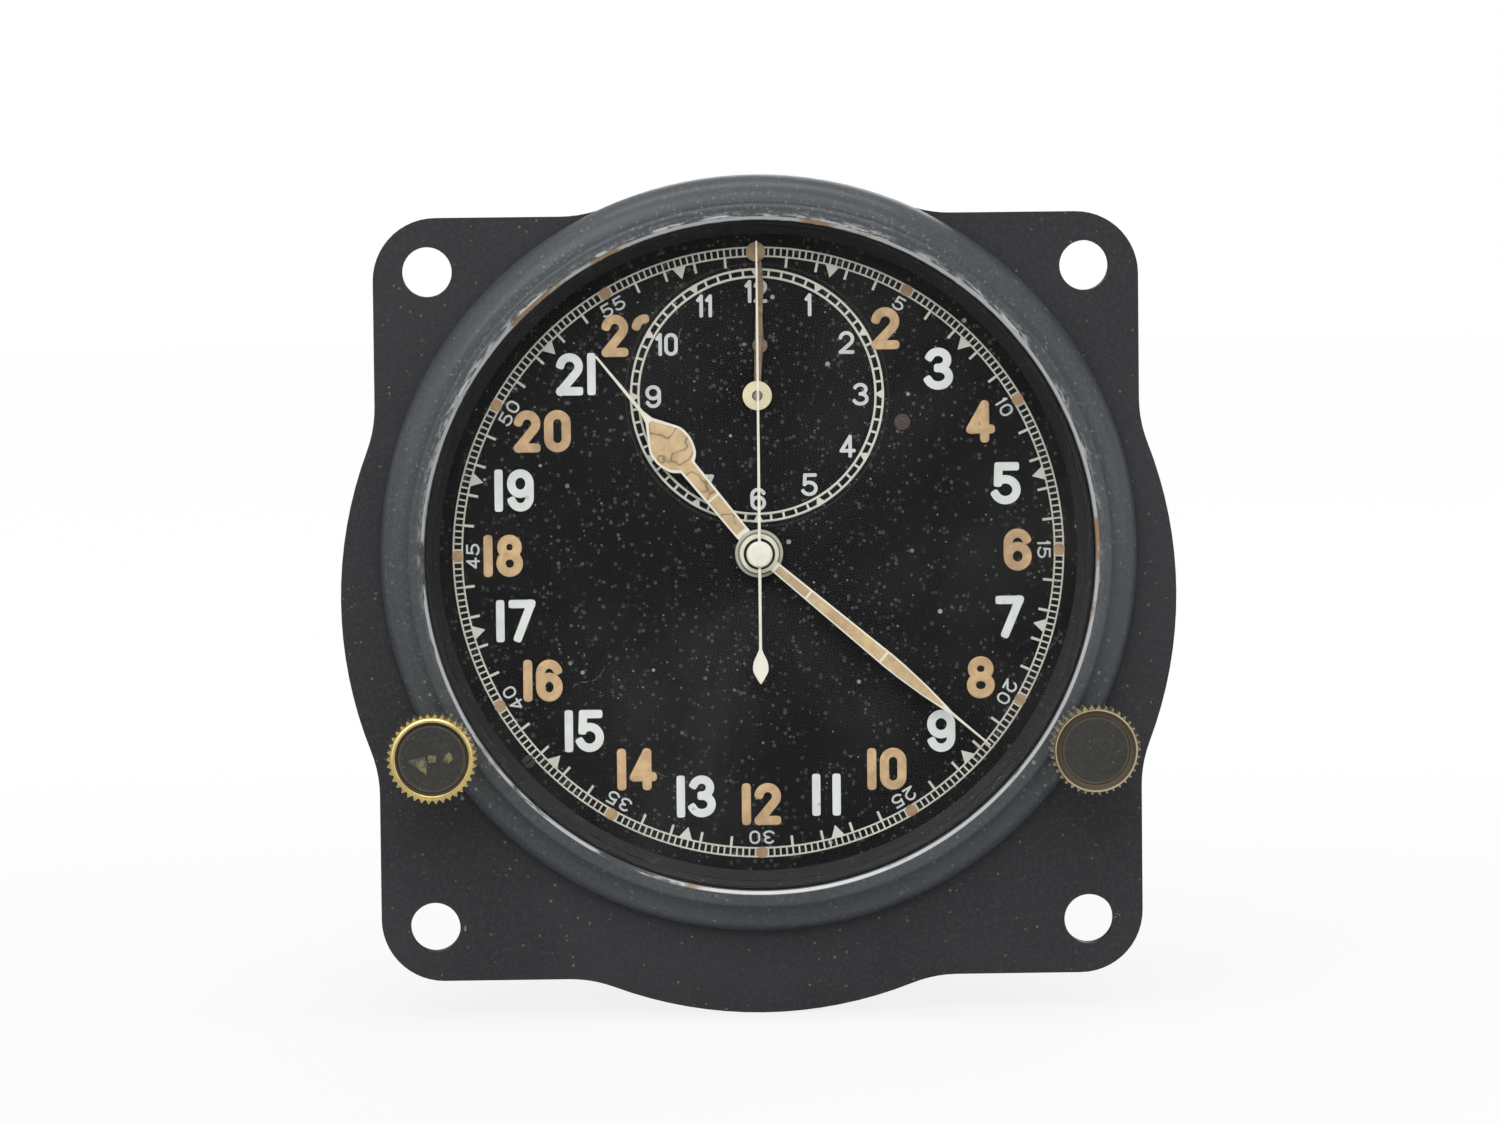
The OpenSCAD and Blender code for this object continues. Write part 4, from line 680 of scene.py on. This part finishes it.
class CLOCK_OT_dial(ClockOperator, bpy.types.Operator):
    """Finish the dial, the ring round it and its fastenings"""

    bl_idname = "clock.finish_dial"
    bl_label = "Dial"

    def make(self, sizes, colours):
        dial = Finish("dial_black", specular_ior_level=0.06)
        tone = dial.clouds(Scale=70.0).mix(scaled(colours.dial, 0.8), scaled(colours.dial, 1.3))
        warm = (dial.clouds(Scale=110.0, Low=0.5, High=0.8) * 0.25).mix(tone, shade(46, 38, 32))
        fine = (dial.dust(Scale=2600.0, Size=0.6, Amount=0.4) * 0.16
                | dial.dust(Scale=1300.0, Size=0.34, Amount=0.45) * 0.75)
        coarse = (dial.dust(Scale=760.0, Size=0.2, Amount=0.3) * 0.8
                  | dial.dust(Scale=430.0, Size=0.1, Amount=0.3) * 0.9)
        dust = fine * dial.clouds(Scale=150.0, Low=0.3, High=0.7).span(0, 1, 0.7, 1.0) | coarse
        lint = dial.lines(Scale=150.0, Width=0.004, Breaks=0.68) * 0.4
        # A faint light line round the small dial's edge: a painted highlight of light caught on the step there.
        step = dial.ring(TRIP_AXIS, 0.01256, 0.01262, 0.00005) * 0.06
        film = dial.clouds(Scale=38.0, Low=0.45, High=0.75) * 0.03
        dial.set(base_color=(dust | lint | step | film).mix(warm, shade(165, 163, 160)),
                 roughness=dust.span(0, 1, 0.6, 0.85))
        dress(dial, "dial")
        surround = paint("surround_grey", colours.surround, 0.5, 0.5, 0.2)
        surround.set(specular_ior_level=0.1)
        dress(surround, "dial_surround")
        dress(paint("rivet_brown", shade(66, 56, 52), 0.5), "dial_feet")
        self.screw()

    def screw(self):
        """A slotted screw at the dial's edge."""
        screw = Shape()
        x, y, r, slot, low = -22.3, -19.8, 0.62, 0.07, DIAL_FRONT / MM
        gap, c, s = math.degrees(math.asin(slot / r)), 0.8, 0.6  # half the slot's angle, and its slant
        for side in (0, 180):
            half = arc(0, 0, r, r, side + gap, side + 180 - gap)
            turned = [Vector((x + p.x * c - p.y * s, y + p.x * s + p.y * c)) for p in half]
            centre = sum(turned, Vector((0, 0))) / len(turned)
            eased = [centre + (p - centre) * 0.9 for p in turned]
            screw.stack([turned, turned, eased], [low, low + 0.08, low + 0.12])
        screw.put("dial_edge_screw", metal("dial_screw_steel", shade(92, 90, 88), 0.4), DIAL_AXIS, "case", "steel")


def geometry_tree(name, *inputs):
    """An empty geometry tree with its inputs, and what comes into it."""
    tree = bpy.data.node_groups.new(name, "GeometryNodeTree")
    kinds = {"Count": "NodeSocketInt", "Skip": "NodeSocketInt", "Material": "NodeSocketMaterial"}
    for label in inputs:
        tree.interface.new_socket(label, in_out="INPUT", socket_type=kinds.get(label, FLOAT))
    tree.interface.new_socket("Geometry", in_out="OUTPUT", socket_type="NodeSocketGeometry")
    return tree, node(tree, "NodeGroupInput")


def finish_tree(tree, geometry, material):
    """Ends a tree in plain geometry with its material."""
    real = node(tree, "GeometryNodeRealizeInstances", {0: geometry})[0]
    done = node(tree, "GeometryNodeSetMaterial", {"Geometry": real, "Material": material})[0]
    node(tree, "NodeGroupOutput", {0: done})
    return tree


def ring_tree(name):
    """A flat ring line: a circle swept by a box-shaped section."""
    tree, into = geometry_tree(name, "Radius", "Width", "Height", "Material")
    circle = node(tree, "GeometryNodeCurvePrimitiveCircle", {"Resolution": 240, "Radius": into["Radius"]},
                  mode="RADIUS")
    section = node(tree, "GeometryNodeCurvePrimitiveQuadrilateral",
                   {"Width": into["Width"], "Height": into["Height"]}, mode="RECTANGLE")
    swept = node(tree, "GeometryNodeCurveToMesh", {"Curve": circle["Curve"], "Profile Curve": section["Curve"]})
    return finish_tree(tree, swept["Mesh"], into["Material"])


def mark_tree(name, mark):
    """Bars, triangles, ribs or dots at equal steps round a circle, with every so many of them skipped."""
    tree, into = geometry_tree(name, "Count", "Skip", "Radius", "Turn", "Width", "Length", "Height", "Material")
    circle = node(tree, "GeometryNodeMeshCircle", {"Vertices": into["Count"], "Radius": into["Radius"]})
    size = node(tree, "ShaderNodeCombineXYZ", {0: into["Length"], 1: into["Width"], 2: into["Height"]})[0]
    if mark == "bar":
        shape = node(tree, "GeometryNodeMeshCube", {"Size": size})["Mesh"]
    else:
        sides = {"triangle": 3, "rib": 3, "dot": 20}[mark]
        plain = node(tree, "GeometryNodeMeshCylinder", {"Vertices": sides, "Radius": 1.0, "Depth": 1.0})["Mesh"]
        turned = node(tree, "GeometryNodeTransform",
                      {"Geometry": plain, "Rotation": (0, 0, math.pi if mark == "triangle" else 0)})[0]
        shape = node(tree, "GeometryNodeTransform", {"Geometry": turned, "Scale": size})[0]
    outward = node(tree, "FunctionNodeAlignRotationToVector",
                   {"Vector": node(tree, "GeometryNodeInputPosition")[0]}, axis="X", pivot_axis="Z")[0]
    index = node(tree, "GeometryNodeInputIndex")[0]
    kept = (into["Skip"] < 0.5) | (index % into["Skip"] > 0.5)
    marks = node(tree, "GeometryNodeInstanceOnPoints", {"Points": circle["Mesh"], "Instance": shape,
                                                        "Selection": kept, "Rotation": outward})[0]
    turn = node(tree, "ShaderNodeCombineXYZ", {2: into["Turn"]})[0]
    turned = node(tree, "GeometryNodeTransform", {"Geometry": marks, "Rotation": turn})[0]
    return finish_tree(tree, turned, into["Material"])


def grow(name, tree, axis, base, body, slot, **values):
    """Runs a node tree on an empty mesh and places its result, a plain piece that stands on the base level."""
    holder = linked(name + "_tree", bpy.data.meshes.new(name + "_tree"))
    modifier = holder.modifiers.new("tree", "NODES")
    modifier.node_group = tree
    for item in tree.interface.items_tree:
        if item.in_out == "INPUT":
            modifier[item.identifier] = values[item.name]
    graph = bpy.context.evaluated_depsgraph_get()
    mesh = bpy.data.meshes.new_from_object(holder.evaluated_get(graph), depsgraph=graph)
    if not mesh.polygons:
        raise RuntimeError(name + " has no faces")
    mesh.name = name
    level = base + values["Height"] / 2
    mesh.transform(Matrix.Translation((axis.x, -level, axis.z)) @ Matrix.Rotation(math.pi / 2, 4, "X"))
    bpy.data.objects.remove(holder)
    place(linked(name, mesh), body, slot)


class CLOCK_OT_tracks(ClockOperator, bpy.types.Operator):
    """Print the minute tracks, ticks, triangles and luminous dots"""

    bl_idname = "clock.make_tracks"
    bl_label = "Minute tracks"

    def make(self, sizes, colours):
        white = print_paint("track_print", colours.fine_print)
        brown = tuple((a + b) / 2 for a, b in zip(colours.lume, colours.old_lume))
        lume = lume_paint("dot_lume", brown, colours.old_lume, 0.3)
        ring, bars = ring_tree("ring_line"), mark_tree("ring_of_bars", "bar")
        wedges, dots = mark_tree("ring_of_triangles", "triangle"), mark_tree("ring_of_dots", "dot")
        thick, middle_track = sizes.print_height, (sizes.track_outer + sizes.track_inner) / 2

        def line(name, axis, radius, width):
            grow(name, ring, axis, DIAL_FRONT, "case", "hand_white", Radius=radius, Width=width, Height=thick,
                 Material=white.material)

        def marks(name, tree, axis, count, radius, wide, long, height, finish=white, turn=0.0, skip=0):
            grow(name, tree, axis, DIAL_FRONT, "case", "hand_white", Count=count, Skip=skip, Radius=radius, Turn=turn,
                 Width=wide, Length=long, Height=height, Material=finish.material)

        def band(name, axis, outer, inner, width, count):
            line(name + "_outer_line", axis, outer - width / 2, width)
            line(name + "_inner_line", axis, inner + width / 2, width)
            marks(name + "_divisions", bars, axis, count, (outer + inner) / 2, width, outer - inner - width,
                  thick * 0.98)

        # The factors of thick keep the tops of marks that cross out of one plane.
        band("minute_track", DIAL_AXIS, sizes.track_outer, sizes.track_inner, sizes.track_line, 300)
        tick, wedge, trip_wedge, dot = sizes.tick_length, 0.00074, 0.00062, 0.00056
        marks("minute_ticks", bars, DIAL_AXIS, 60, sizes.track_inner - tick / 2, sizes.track_line * 1.5, tick,
              thick * 0.96, skip=5)
        marks("odd_hour_triangles", wedges, DIAL_AXIS, 12, sizes.track_inner - wedge / 2, wedge, wedge, thick * 1.04,
              turn=math.radians(15))
        marks("five_minute_dots", dots, DIAL_AXIS, 12, middle_track, dot, dot, thick * 2.5, lume)
        level = DIAL_FRONT / MM
        top = [(0.001, level), (0.93, level), (0.93, level + 0.06), (0.8, level + 0.1), (0.001, level + 0.11)]
        Shape().lathe(top, (0, middle_track / MM), 40).put("top_dot", lume, DIAL_AXIS, "case", "hand_white")
        band("trip_track", TRIP_AXIS, sizes.trip_outer, sizes.trip_inner, sizes.trip_line, 60)
        marks("trip_triangles", wedges, TRIP_AXIS, 12, sizes.trip_outer - trip_wedge / 2, trip_wedge, trip_wedge,
              thick * 1.04)


class CLOCK_OT_numerals(ClockOperator, bpy.types.Operator):
    """Make the hour, minute and small-dial numerals"""

    bl_idname = "clock.make_numerals"
    bl_label = "Numerals"

    def make(self, sizes, colours):
        white = print_paint("hour_print", colours.print)
        grey = print_paint("small_print", scaled(colours.print, 0.86))
        lume = lume_paint("numeral_lume", colours.lume, colours.old_lume, 0.15)
        front, thick, raised = DIAL_FRONT / MM, sizes.print_height / MM, sizes.lume_height / MM
        odd, even, small = Shape(), Shape(), Shape()
        trip = (TRIP_AXIS - DIAL_AXIS) / MM
        trip_centre = Vector((trip.x, trip.z))
        small_dial = sizes.trip_outer / MM + 0.75

        def covered(point):
            return (point - trip_centre).length < small_dial

        def flat(width):
            return [(width / 2, front), (width / 2, front + thick)]

        stroke, fat, fine, thin = 0.8, 0.88, 0.19, 0.34
        domed = [(fat / 2, front), (fat / 2, front + raised * 0.5), (fat / 2 - 0.07, front + raised)]
        # How much further out than the others some hours stand.
        out = {2: 0.5, 3: 0.5, 4: 0.5, 5: 0.5, 6: 0.67, 7: 0.7, 8: 0.3, 9: 0.35, 14: -0.3, 15: -0.25, 16: -0.13,
               18: 0.3, 20: -0.4, 21: 0.3}
        for hour in range(2, 23):
            centre = polar(sizes.hour_radius / MM + out.get(hour, 0), math.radians(15 * hour))
            high, wide = sizes.hour_height / MM, 2.56 if hour > 9 else 2.7
            if hour % 2:
                number(odd, str(hour), centre, high, wide, stroke, 1.15 if hour == 11 else 0.4, flat(stroke), 0.55)
            else:
                number(even, str(hour), centre, high, wide, fat, 0.34, domed, 0.8,
                       bare=covered if hour == 22 else None)
        for minute in range(5, 60, 5):
            turn = math.radians(6 * minute)
            number(small, str(minute), polar(sizes.minute_radius / MM, turn), sizes.minute_height / MM, 1.04, fine,
                   0.3, flat(fine), 0.7, turn, 0.14)
        for hour in range(1, 13):
            centre = polar(sizes.trip_radius / MM, math.radians(30 * hour)) + trip_centre
            number(small, str(hour), centre, sizes.trip_height / MM, 1.5 if hour < 10 else 1.3, thin, 0.22,
                   flat(thin), 0.7, flag=0.3)
        for name, shape, finish in (("odd_hour_numerals", odd, white), ("even_hour_numerals", even, lume),
                                    ("small_numerals", small, grey)):
            shape.put(name, finish, DIAL_AXIS, "case", "hand_white")


class CLOCK_OT_hands(ClockOperator, bpy.types.Operator):
    """Make the hour, minute, sweep and elapsed-time hands with their luminous paint"""

    bl_idname = "clock.make_hands"
    bl_label = "Hands"

    def make(self, sizes, colours):
        white = self.white(colours)
        cracked = lume_paint("hour_lume", colours.hand_lume, colours.old_lume, 0.85)
        even = lume_paint("minute_lume", colours.hand_lume, colours.old_lume, 0.2)
        old = lume_paint("trip_lume", colours.old_lume, scaled(colours.old_lume, 0.6), 0.5)
        cream = self.ring_paint("hub_cream", TRIP_AXIS, shade(206, 199, 166), 0.0003, 0.0005, shade(122, 98, 74))
        # The minute collar's recess round the sweep hand's cap is painted near black: painted shade.
        collar_recess_shade = self.ring_paint("collar_cream", DIAL_AXIS, shade(207, 206, 184), 0.0001, 0.00149, shade(40, 38, 35))

        # Levels of the hands' undersides and the thickness of the three large ones.
        hour_low, minute_low, sweep_low, trip_hour_low, trip_minute_low, thick = 2.2, 3.0, 3.9, 1.4, 1.75, 0.25

        def hand(shape, name, finish, axis, body, turn):
            shape.put(name, finish, axis, body, "hand_white", body, turn=turn)

        def fill(name, finish, body, turn, low, *halves):
            shape = Shape()
            for half in halves:
                shape.plate(half, low + thick - 0.01, low + thick + 0.05)
            shape.put(name, finish, DIAL_AXIS, body, None, turn=turn)

        leaf = [(0.85, 10.72), (1.55, 11.35), (1.97, 12.4), (2.05, 13.2), (1.92, 14.1), (1.2, 15.3), (0.42, 16.5)]
        inner = [(0.62, 10.95), (1.36, 11.55), (1.74, 12.45), (1.81, 13.2), (1.67, 14.1), (0.98, 15.2), (0.18, 16.35)]
        outline = [(0.7, 1.9), (0.78, 6.9), *smooth_half(leaf), (0.17, 17.6), (0.1, 24.5)]
        hour = Shape().plate(outline, hour_low, hour_low + thick).boss(1.5, 2.3, hour_low, 2.6)
        hand(hour, "hour_hand_frame", white, DIAL_AXIS, "hour_hand", HOUR_TURN)
        fill("hour_hand_lume", cracked, "hour_hand", HOUR_TURN, hour_low, [(0.53, 2.75), (0.57, 6.8)],
             [(0.57, 7.0), *smooth_half(inner)])

        minute = Shape().plate([(0.5, 1.5), (0.57, 6.1), (0.7, 14.5), (0.73, 16.0), (0.7, 17.6), (0.52, 20.6),
                                (0.24, 23.2), (0.13, 23.9), (0.08, 28.8)], minute_low, minute_low + thick)
        hand(minute, "minute_hand_frame", white, DIAL_AXIS, "minute_hand", MINUTE_TURN)
        fill("minute_hand_lume", even, "minute_hand", MINUTE_TURN, minute_low, [(0.34, 2.2), (0.41, 6.02)],
             [(0.42, 6.24), (0.55, 15.38)], [(0.57, 15.62), (0.55, 17.5), (0.39, 20.5), (0.1, 22.9)])
        collar = Shape().boss(1.5, 1.85, minute_low, 3.4, 0.08)
        collar.lathe([(0.95, minute_low), (1.5, minute_low), (1.5, 3.1), (0.95, 3.1)])
        collar.put("minute_hand_collar", collar_recess_shade, DIAL_AXIS, "minute_hand", None, turn=MINUTE_TURN)

        drop = [(0.04, -12.4), (0.3, -12.0), (0.68, -11.3), (0.74, -10.8), (0.62, -10.2), (0.34, -9.6), (0.14, -9.1)]
        sweep = Shape().plate([*smooth_half(drop), (0.14, 0.0), (0.09, 29.9)], sweep_low, sweep_low + thick)
        sweep.lathe([(0.62, sweep_low), (1.25, sweep_low), (1.25, 4.35), (1.17, 4.53), (1.0, 4.6), (0.62, 4.6)])
        sweep.lathe([(0.0005, 4.25), (0.62, 4.25), (0.62, 4.57), (0.3, 4.6), (0.0005, 4.6)])
        hand(sweep, "sweep_hand_piece", white, DIAL_AXIS, "sweep_hand", 0.0)

        bulge = [(0.72 * math.cos(a), 4.8 + 0.72 * math.sin(a)) for a in map(math.radians, range(-65, 70, 13))]
        short = Shape().plate([(0.3, 0.9), *bulge, (0.26, 6.0), (0.2, 6.6), (0.06, 7.6)], trip_hour_low, 1.54)
        hand(short, "trip_hour_piece", old, TRIP_AXIS, "trip_hour_hand", TRIP_HOUR_TURN)
        hub = Shape().boss(0.75, 1.1, trip_hour_low, 1.6, 0.04)
        hub.put("trip_hour_hub", cream, TRIP_AXIS, "trip_hour_hand", None)
        slim = Shape().plate([(0.3, 0.9), (0.34, 4.0), (0.36, 10.5), (0.24, 12.0), (0.06, 13.2)], trip_minute_low, 1.89)
        hand(slim, "trip_minute_piece", old, TRIP_AXIS, "trip_minute_hand", TRIP_MINUTE_TURN)
        hub = Shape().boss(0.42, 1.4, trip_minute_low, 2.0, 0.06)
        hub.put("trip_minute_hub", cream, TRIP_AXIS, "trip_minute_hand", None)

    def ring_paint(self, name, axis, base, inside, outside, mark):
        """Uneven paint with a ring of another colour in it; on the minute hand's collar that ring is painted shade in
        its recess.
        """
        made = Finish(name, roughness=0.5, specular_ior_level=0.2)
        tone = made.clouds(Scale=900.0).mix(scaled(base, 0.94), scaled(base, 1.06))
        made.set(base_color=made.ring(axis, inside, outside, 0.00003).mix(tone, mark))
        return made

    def white(self, colours):
        """Paint of the hands, with a greyer turned collar on the hour hand and a dark ring of painted shade on it
        beside the minute hand's collar.
        """
        made = Finish("hand_white", specular_ior_level=0.25)
        stain = made.clouds(Scale=420.0, Low=0.45, High=0.8)
        collar = (made.ring(DIAL_AXIS, 0.0019, 0.00232, 0.00003)
                  * made.coordinate(1).span(-0.00262, -0.0026, 0.0, 1.0))
        tone = (stain * 0.35).mix(colours.hand, shade(176, 170, 150))
        # A dark ring of painted shade where the minute hand's collar stands above the hour hand's collar.
        painted_shade_ring = made.ring(DIAL_AXIS, 0.00192, 0.002, 0.00006)
        turned = painted_shade_ring.mix(shade(158, 160, 146), shade(84, 84, 76))
        made.set(base_color=(collar * 0.9).mix(tone, turned), roughness=stain.span(0, 1, 0.45, 0.65))
        return made


class CLOCK_OT_knobs(ClockOperator, bpy.types.Operator):
    """Turn the reeded knobs and finish their stems and faces"""

    bl_idname = "clock.make_knobs"
    bl_label = "Knobs"

    def make(self, sizes, colours):
        ribs = mark_tree("ring_of_ribs", "rib")
        winding = [(1.02, 10.3), (3.86, 10.3), (3.92, 10.4), (3.92, 14.08), (3.84, 14.24), (3.7, 14.3), (3.56, 14.3),
                   (3.46, 14.22), (3.25, 13.9), (3.25, 13.37), (1.02, 13.37)]
        push = [(2.5, 10.3), (3.86, 10.3), (3.92, 10.4), (3.92, 14.22), (3.87, 14.3), (3.77, 14.3), (3.7, 14.2),
                (3.46, 14.0), (3.25, 13.94), (3.25, 13.37), (1.02, 13.37), (1.02, 12.3), (2.5, 12.3)]
        reeds_from = 10.35
        # The last column is how dark the reeds' grooves are: dirt and painted shade.
        for name, body, axis, profile, reeds_to, base, wall, dirt_and_shade in (
                ("winding", "winding_stem", WINDING_AXIS, winding, 14.26, colours.gilt, 0.00347, 0.25),
                ("push", "push_knob", PUSH_AXIS, push, 13.5, colours.dull_gilt, 0.00372, 0.6)):
            gilt = self.gilt(name + "_knob_gilt", base, axis, wall, dirt_and_shade)
            turned = Shape().lathe(profile, steps=96)
            turned.put(name + "_knob_body", gilt, axis, body, "knob_brass", name + "_knob")
            grow(name + "_knob_reeds", ribs, axis, reeds_from * MM, body, "knob_brass", Count=38, Skip=0,
                 Radius=0.00396, Turn=0.0, Width=0.00038, Length=0.0003, Height=(reeds_to - reeds_from) * MM,
                 Material=gilt.material)
            disc = paint(name + "_knob_face", colours.knob_face, 0.42, 0.6)
            edge = disc.ring(axis, 0.00302, 0.0031, 0.00008) * 0.16
            disc.set(base_color=edge.mix(disc.colour, shade(140, 134, 112)))
            dress(disc, name + "_knob_face")
        self.arrow()
        dress(metal("stem_steel", shade(160, 158, 152), 0.3), "winding_stem", "push_stem")

    def gilt(self, name, base, axis, wall, dirt_and_shade):
        """Gilt brass, painted dark brown on the wall inside the rim as painted shade, and darker between the reeds for
        dirt and painted shade.
        """
        made = metal(name, base, 0.24, 300.0, 0.8)
        patches = made.clouds(Scale=800.0, Low=0.2, High=0.6).span(0, 1, 0.4, 1.0)
        # Darker between the reeds for dirt and painted shade; the wall inside the rim is painted dark brown with little
        # metallic, a painted shade of the recess.
        reed_dirt_and_shade = made.ring(axis, 0.00393, 0.00412, 0.00006) * dirt_and_shade
        inside = made.ring(axis, 0.00326, wall, 0.00004) * 0.95
        made.set(base_color=(reed_dirt_and_shade * patches | inside).mix(made.colour, shade(58, 43, 25)),
                 metallic=inside.span(0, 1, 1.0, 0.3), roughness=inside.span(0, 1, 0.26, 0.6))
        return made

    def arrow(self):
        """A worn direction arrow on the winding knob's face."""
        worn, low, high = Shape(), 13.95, 13.962
        for outline in ([(-2.25, -0.15), (-0.55, -1.5), (-0.45, -0.55), (-0.7, 0.2)],
                        [(-0.35, -0.35), (0.35, -0.3), (0.4, 0.3), (-0.35, 0.35)],
                        [(0.95, -0.25), (1.55, -0.4), (2.0, -0.05), (1.85, 0.4), (1.6, 0.62), (1.2, 0.3)]):
            worn.stack([outline, outline], [low, high])
        made = Finish("worn_arrow", roughness=0.5)
        gone = made.clouds(Scale=1500.0, Low=0.42, High=0.58)
        made.set(base_color=gone.mix(shade(122, 116, 74), shade(72, 70, 60)))
        worn.put("worn_arrow", made, WINDING_AXIS, "winding_stem", "knob_face")


class CLOCK_OT_spring(ClockOperator, bpy.types.Operator):
    """Wind the push knob's return spring"""

    bl_idname = "clock.make_spring"
    bl_label = "Return spring"

    def make(self, sizes, colours):
        low, high = (Vector(corner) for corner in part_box("push_spring"))
        wire, radius, turns, steps, around = 0.2, 1.6, 4, 40, 10
        first, last = -high.y / MM + wire, -low.y / MM - wire
        section = [2 * math.pi * j / around for j in range(around)]
        rings = []
        for k in range(turns * steps + 1):
            a, level = 2 * math.pi * k / steps, first + (last - first) * k / (turns * steps)
            rings.append([((radius + wire * math.cos(b)) * math.cos(a), (radius + wire * math.cos(b)) * math.sin(a),
                           level + wire * math.sin(b)) for b in section])
        steel = metal("spring_wire", shade(150, 150, 150), 0.3)
        piece = Shape().skin(rings, flip=True).put("push_spring_coil", steel, PUSH_AXIS, "case", "spring_steel",
                                                   "push_spring")
        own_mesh(piece)


class CLOCK_OT_movement(ClockOperator, bpy.types.Operator):
    """Finish the works behind the dial"""

    bl_idname = "clock.finish_movement"
    bl_label = "Movement"

    def make(self, sizes, colours):
        steel = metal("movement_steel", shade(166, 166, 168), 0.25, 140.0, 0.75)
        ruby = Finish("ruby", roughness=0.1)
        ruby.set(base_color=ruby.clouds(Scale=500.0).mix(shade(150, 18, 46), shade(190, 34, 66)))
        finishes = {"movement_brass": metal("movement_brass", shade(196, 164, 92), 0.28, 120.0, 0.75),
                    "steel": steel, "spring_steel": steel, "ruby": ruby,
                    "blued_steel": metal("blued_steel", shade(44, 58, 116), 0.25, 200.0, 0.7)}
        for name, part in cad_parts.items():
            slot = part.data.materials[0].name.split(".")[0] if part.data.materials else ""
            if slot in finishes:
                dress(finishes[slot], name)


# Each lamp's place, width, height and power.
LAMPS = {"key": ((-0.15, -0.8, 0.55), 0.9, 0.6, 5.2), "top": ((0, -0.1, 0.9), 0.8, 0.3, 3.2),
         "left_fill": ((-0.8, -0.6, 0.15), 0.7, 0.7, 1.2), "right_fill": ((0.8, -0.6, 0.15), 0.7, 0.7, 1.2),
         "back_fill": ((0.25, 0.85, 0.45), 0.8, 0.6, 3.0)}
CAMERA_PLACE, CAMERA_TURN = (-0.01582, -0.6, 0.03741), (86.742, 0.618, -1.468)
ROOM_LIGHT = 0.17
LESS_IN_REFLECTION = 0.42


class CLOCK_OT_stage(ClockOperator, bpy.types.Operator):
    """Set the floor, the backdrop, the lights and the camera"""

    bl_idname = "clock.make_stage"
    bl_label = "Stage"

    def make(self, sizes, colours):
        scene = bpy.context.scene
        self.sheet()
        for name, lamp in LAMPS.items():
            self.lamp(name, *lamp)
        scene.world = self.room()
        lens = bpy.data.cameras.new("camera")
        lens.sensor_width, lens.lens = 36.0, 150.05
        lens.clip_start, lens.clip_end = 0.01, 10
        camera = linked("camera", lens)
        camera.location = CAMERA_PLACE
        camera.rotation_euler = [math.radians(angle) for angle in CAMERA_TURN]
        scene.camera = camera
        scene.view_settings.view_transform = "Standard"

    def seen(self, tree):
        """1 in a reflection, 1 wherever the surroundings are looked at, and how white they are there."""
        path = node(tree, "ShaderNodeLightPath")
        glossy = path["Is Glossy Ray"]
        shown = path["Is Camera Ray"] | glossy | path["Is Transmission Ray"]
        return glossy, shown, (glossy * LESS_IN_REFLECTION).rest()

    def room(self):
        """White surroundings that give a low even light."""
        world = bpy.data.worlds.new("room")
        world.use_nodes = True
        _, shown, white = self.seen(world.node_tree)
        feed(world.node_tree.nodes["Background"], {"Color": (1, 1, 1, 1), "Strength": shown.level(ROOM_LIGHT, white)})
        return world

    def sheet(self):
        """The floor, white where it is looked at but for the shadow near the clock."""
        low, wide = CAD_BOX[0][2] - 0.0002, 3.0
        mesh = bpy.data.meshes.new("floor")
        mesh.from_pydata([(-wide, -wide, low), (wide, -wide, low), (wide, wide, low), (-wide, wide, low)], [],
                         [(0, 1, 2, 3)])
        finish = Finish("floor_white", roughness=0.9)
        finish.set(base_color=finish.clouds(Scale=6.0).mix((0.86, 0.86, 0.86), (0.88, 0.88, 0.88)))
        glossy, shown, white = self.seen(finish.tree)
        glow = node(finish.tree, "ShaderNodeEmission", {"Color": (1, 1, 1, 1), "Strength": white})
        away = finish.where.vector("LENGTH")
        finish.cover(shown * away.span(0.05, 0.3, 0.86, 0.99) | glossy, glow)
        mesh.materials.append(finish.material)
        return linked("floor", mesh)

    def lamp(self, name, where, wide, high, power):
        light = bpy.data.lights.new(name, "AREA")
        light.shape, light.size, light.size_y, light.energy = "RECTANGLE", wide, high, power
        made = linked(name, light)
        made.location = where
        made.rotation_euler = (Vector((0, 0, 0)) - Vector(where)).to_track_quat("-Z", "Y").to_euler()


OPERATORS = (CLOCK_OT_movement, CLOCK_OT_case, CLOCK_OT_bezel, CLOCK_OT_glass, CLOCK_OT_dial, CLOCK_OT_tracks,
             CLOCK_OT_numerals, CLOCK_OT_hands, CLOCK_OT_knobs, CLOCK_OT_spring, CLOCK_OT_stage)


class CLOCK_PT_finish(bpy.types.Panel):
    """Lists the clock's operators, sizes and colours"""

    bl_idname = "CLOCK_PT_finish"
    bl_label = "Panel clock"
    bl_space_type = "VIEW_3D"
    bl_region_type = "UI"
    bl_category = "Clock"

    def draw(self, context):
        for kind in OPERATORS:
            self.layout.operator(kind.bl_idname)
        for group in (context.scene.clock_sizes, context.scene.clock_colours):
            for name in group.__annotations__:
                self.layout.prop(group, name)


CLASSES = (ClockSizes, ClockColours, *OPERATORS, CLOCK_PT_finish)


def register():
    for kind in CLASSES:
        bpy.utils.register_class(kind)
    bpy.types.Scene.clock_sizes = bpy.props.PointerProperty(type=ClockSizes)
    bpy.types.Scene.clock_colours = bpy.props.PointerProperty(type=ClockColours)


def unregister():
    del bpy.types.Scene.clock_sizes, bpy.types.Scene.clock_colours
    for kind in reversed(CLASSES):
        bpy.utils.unregister_class(kind)


def main():
    register()
    for kind in OPERATORS:
        group, name = kind.bl_idname.split(".")
        getattr(getattr(bpy.ops, group), name)()


if __name__ == "__main__":
    main()
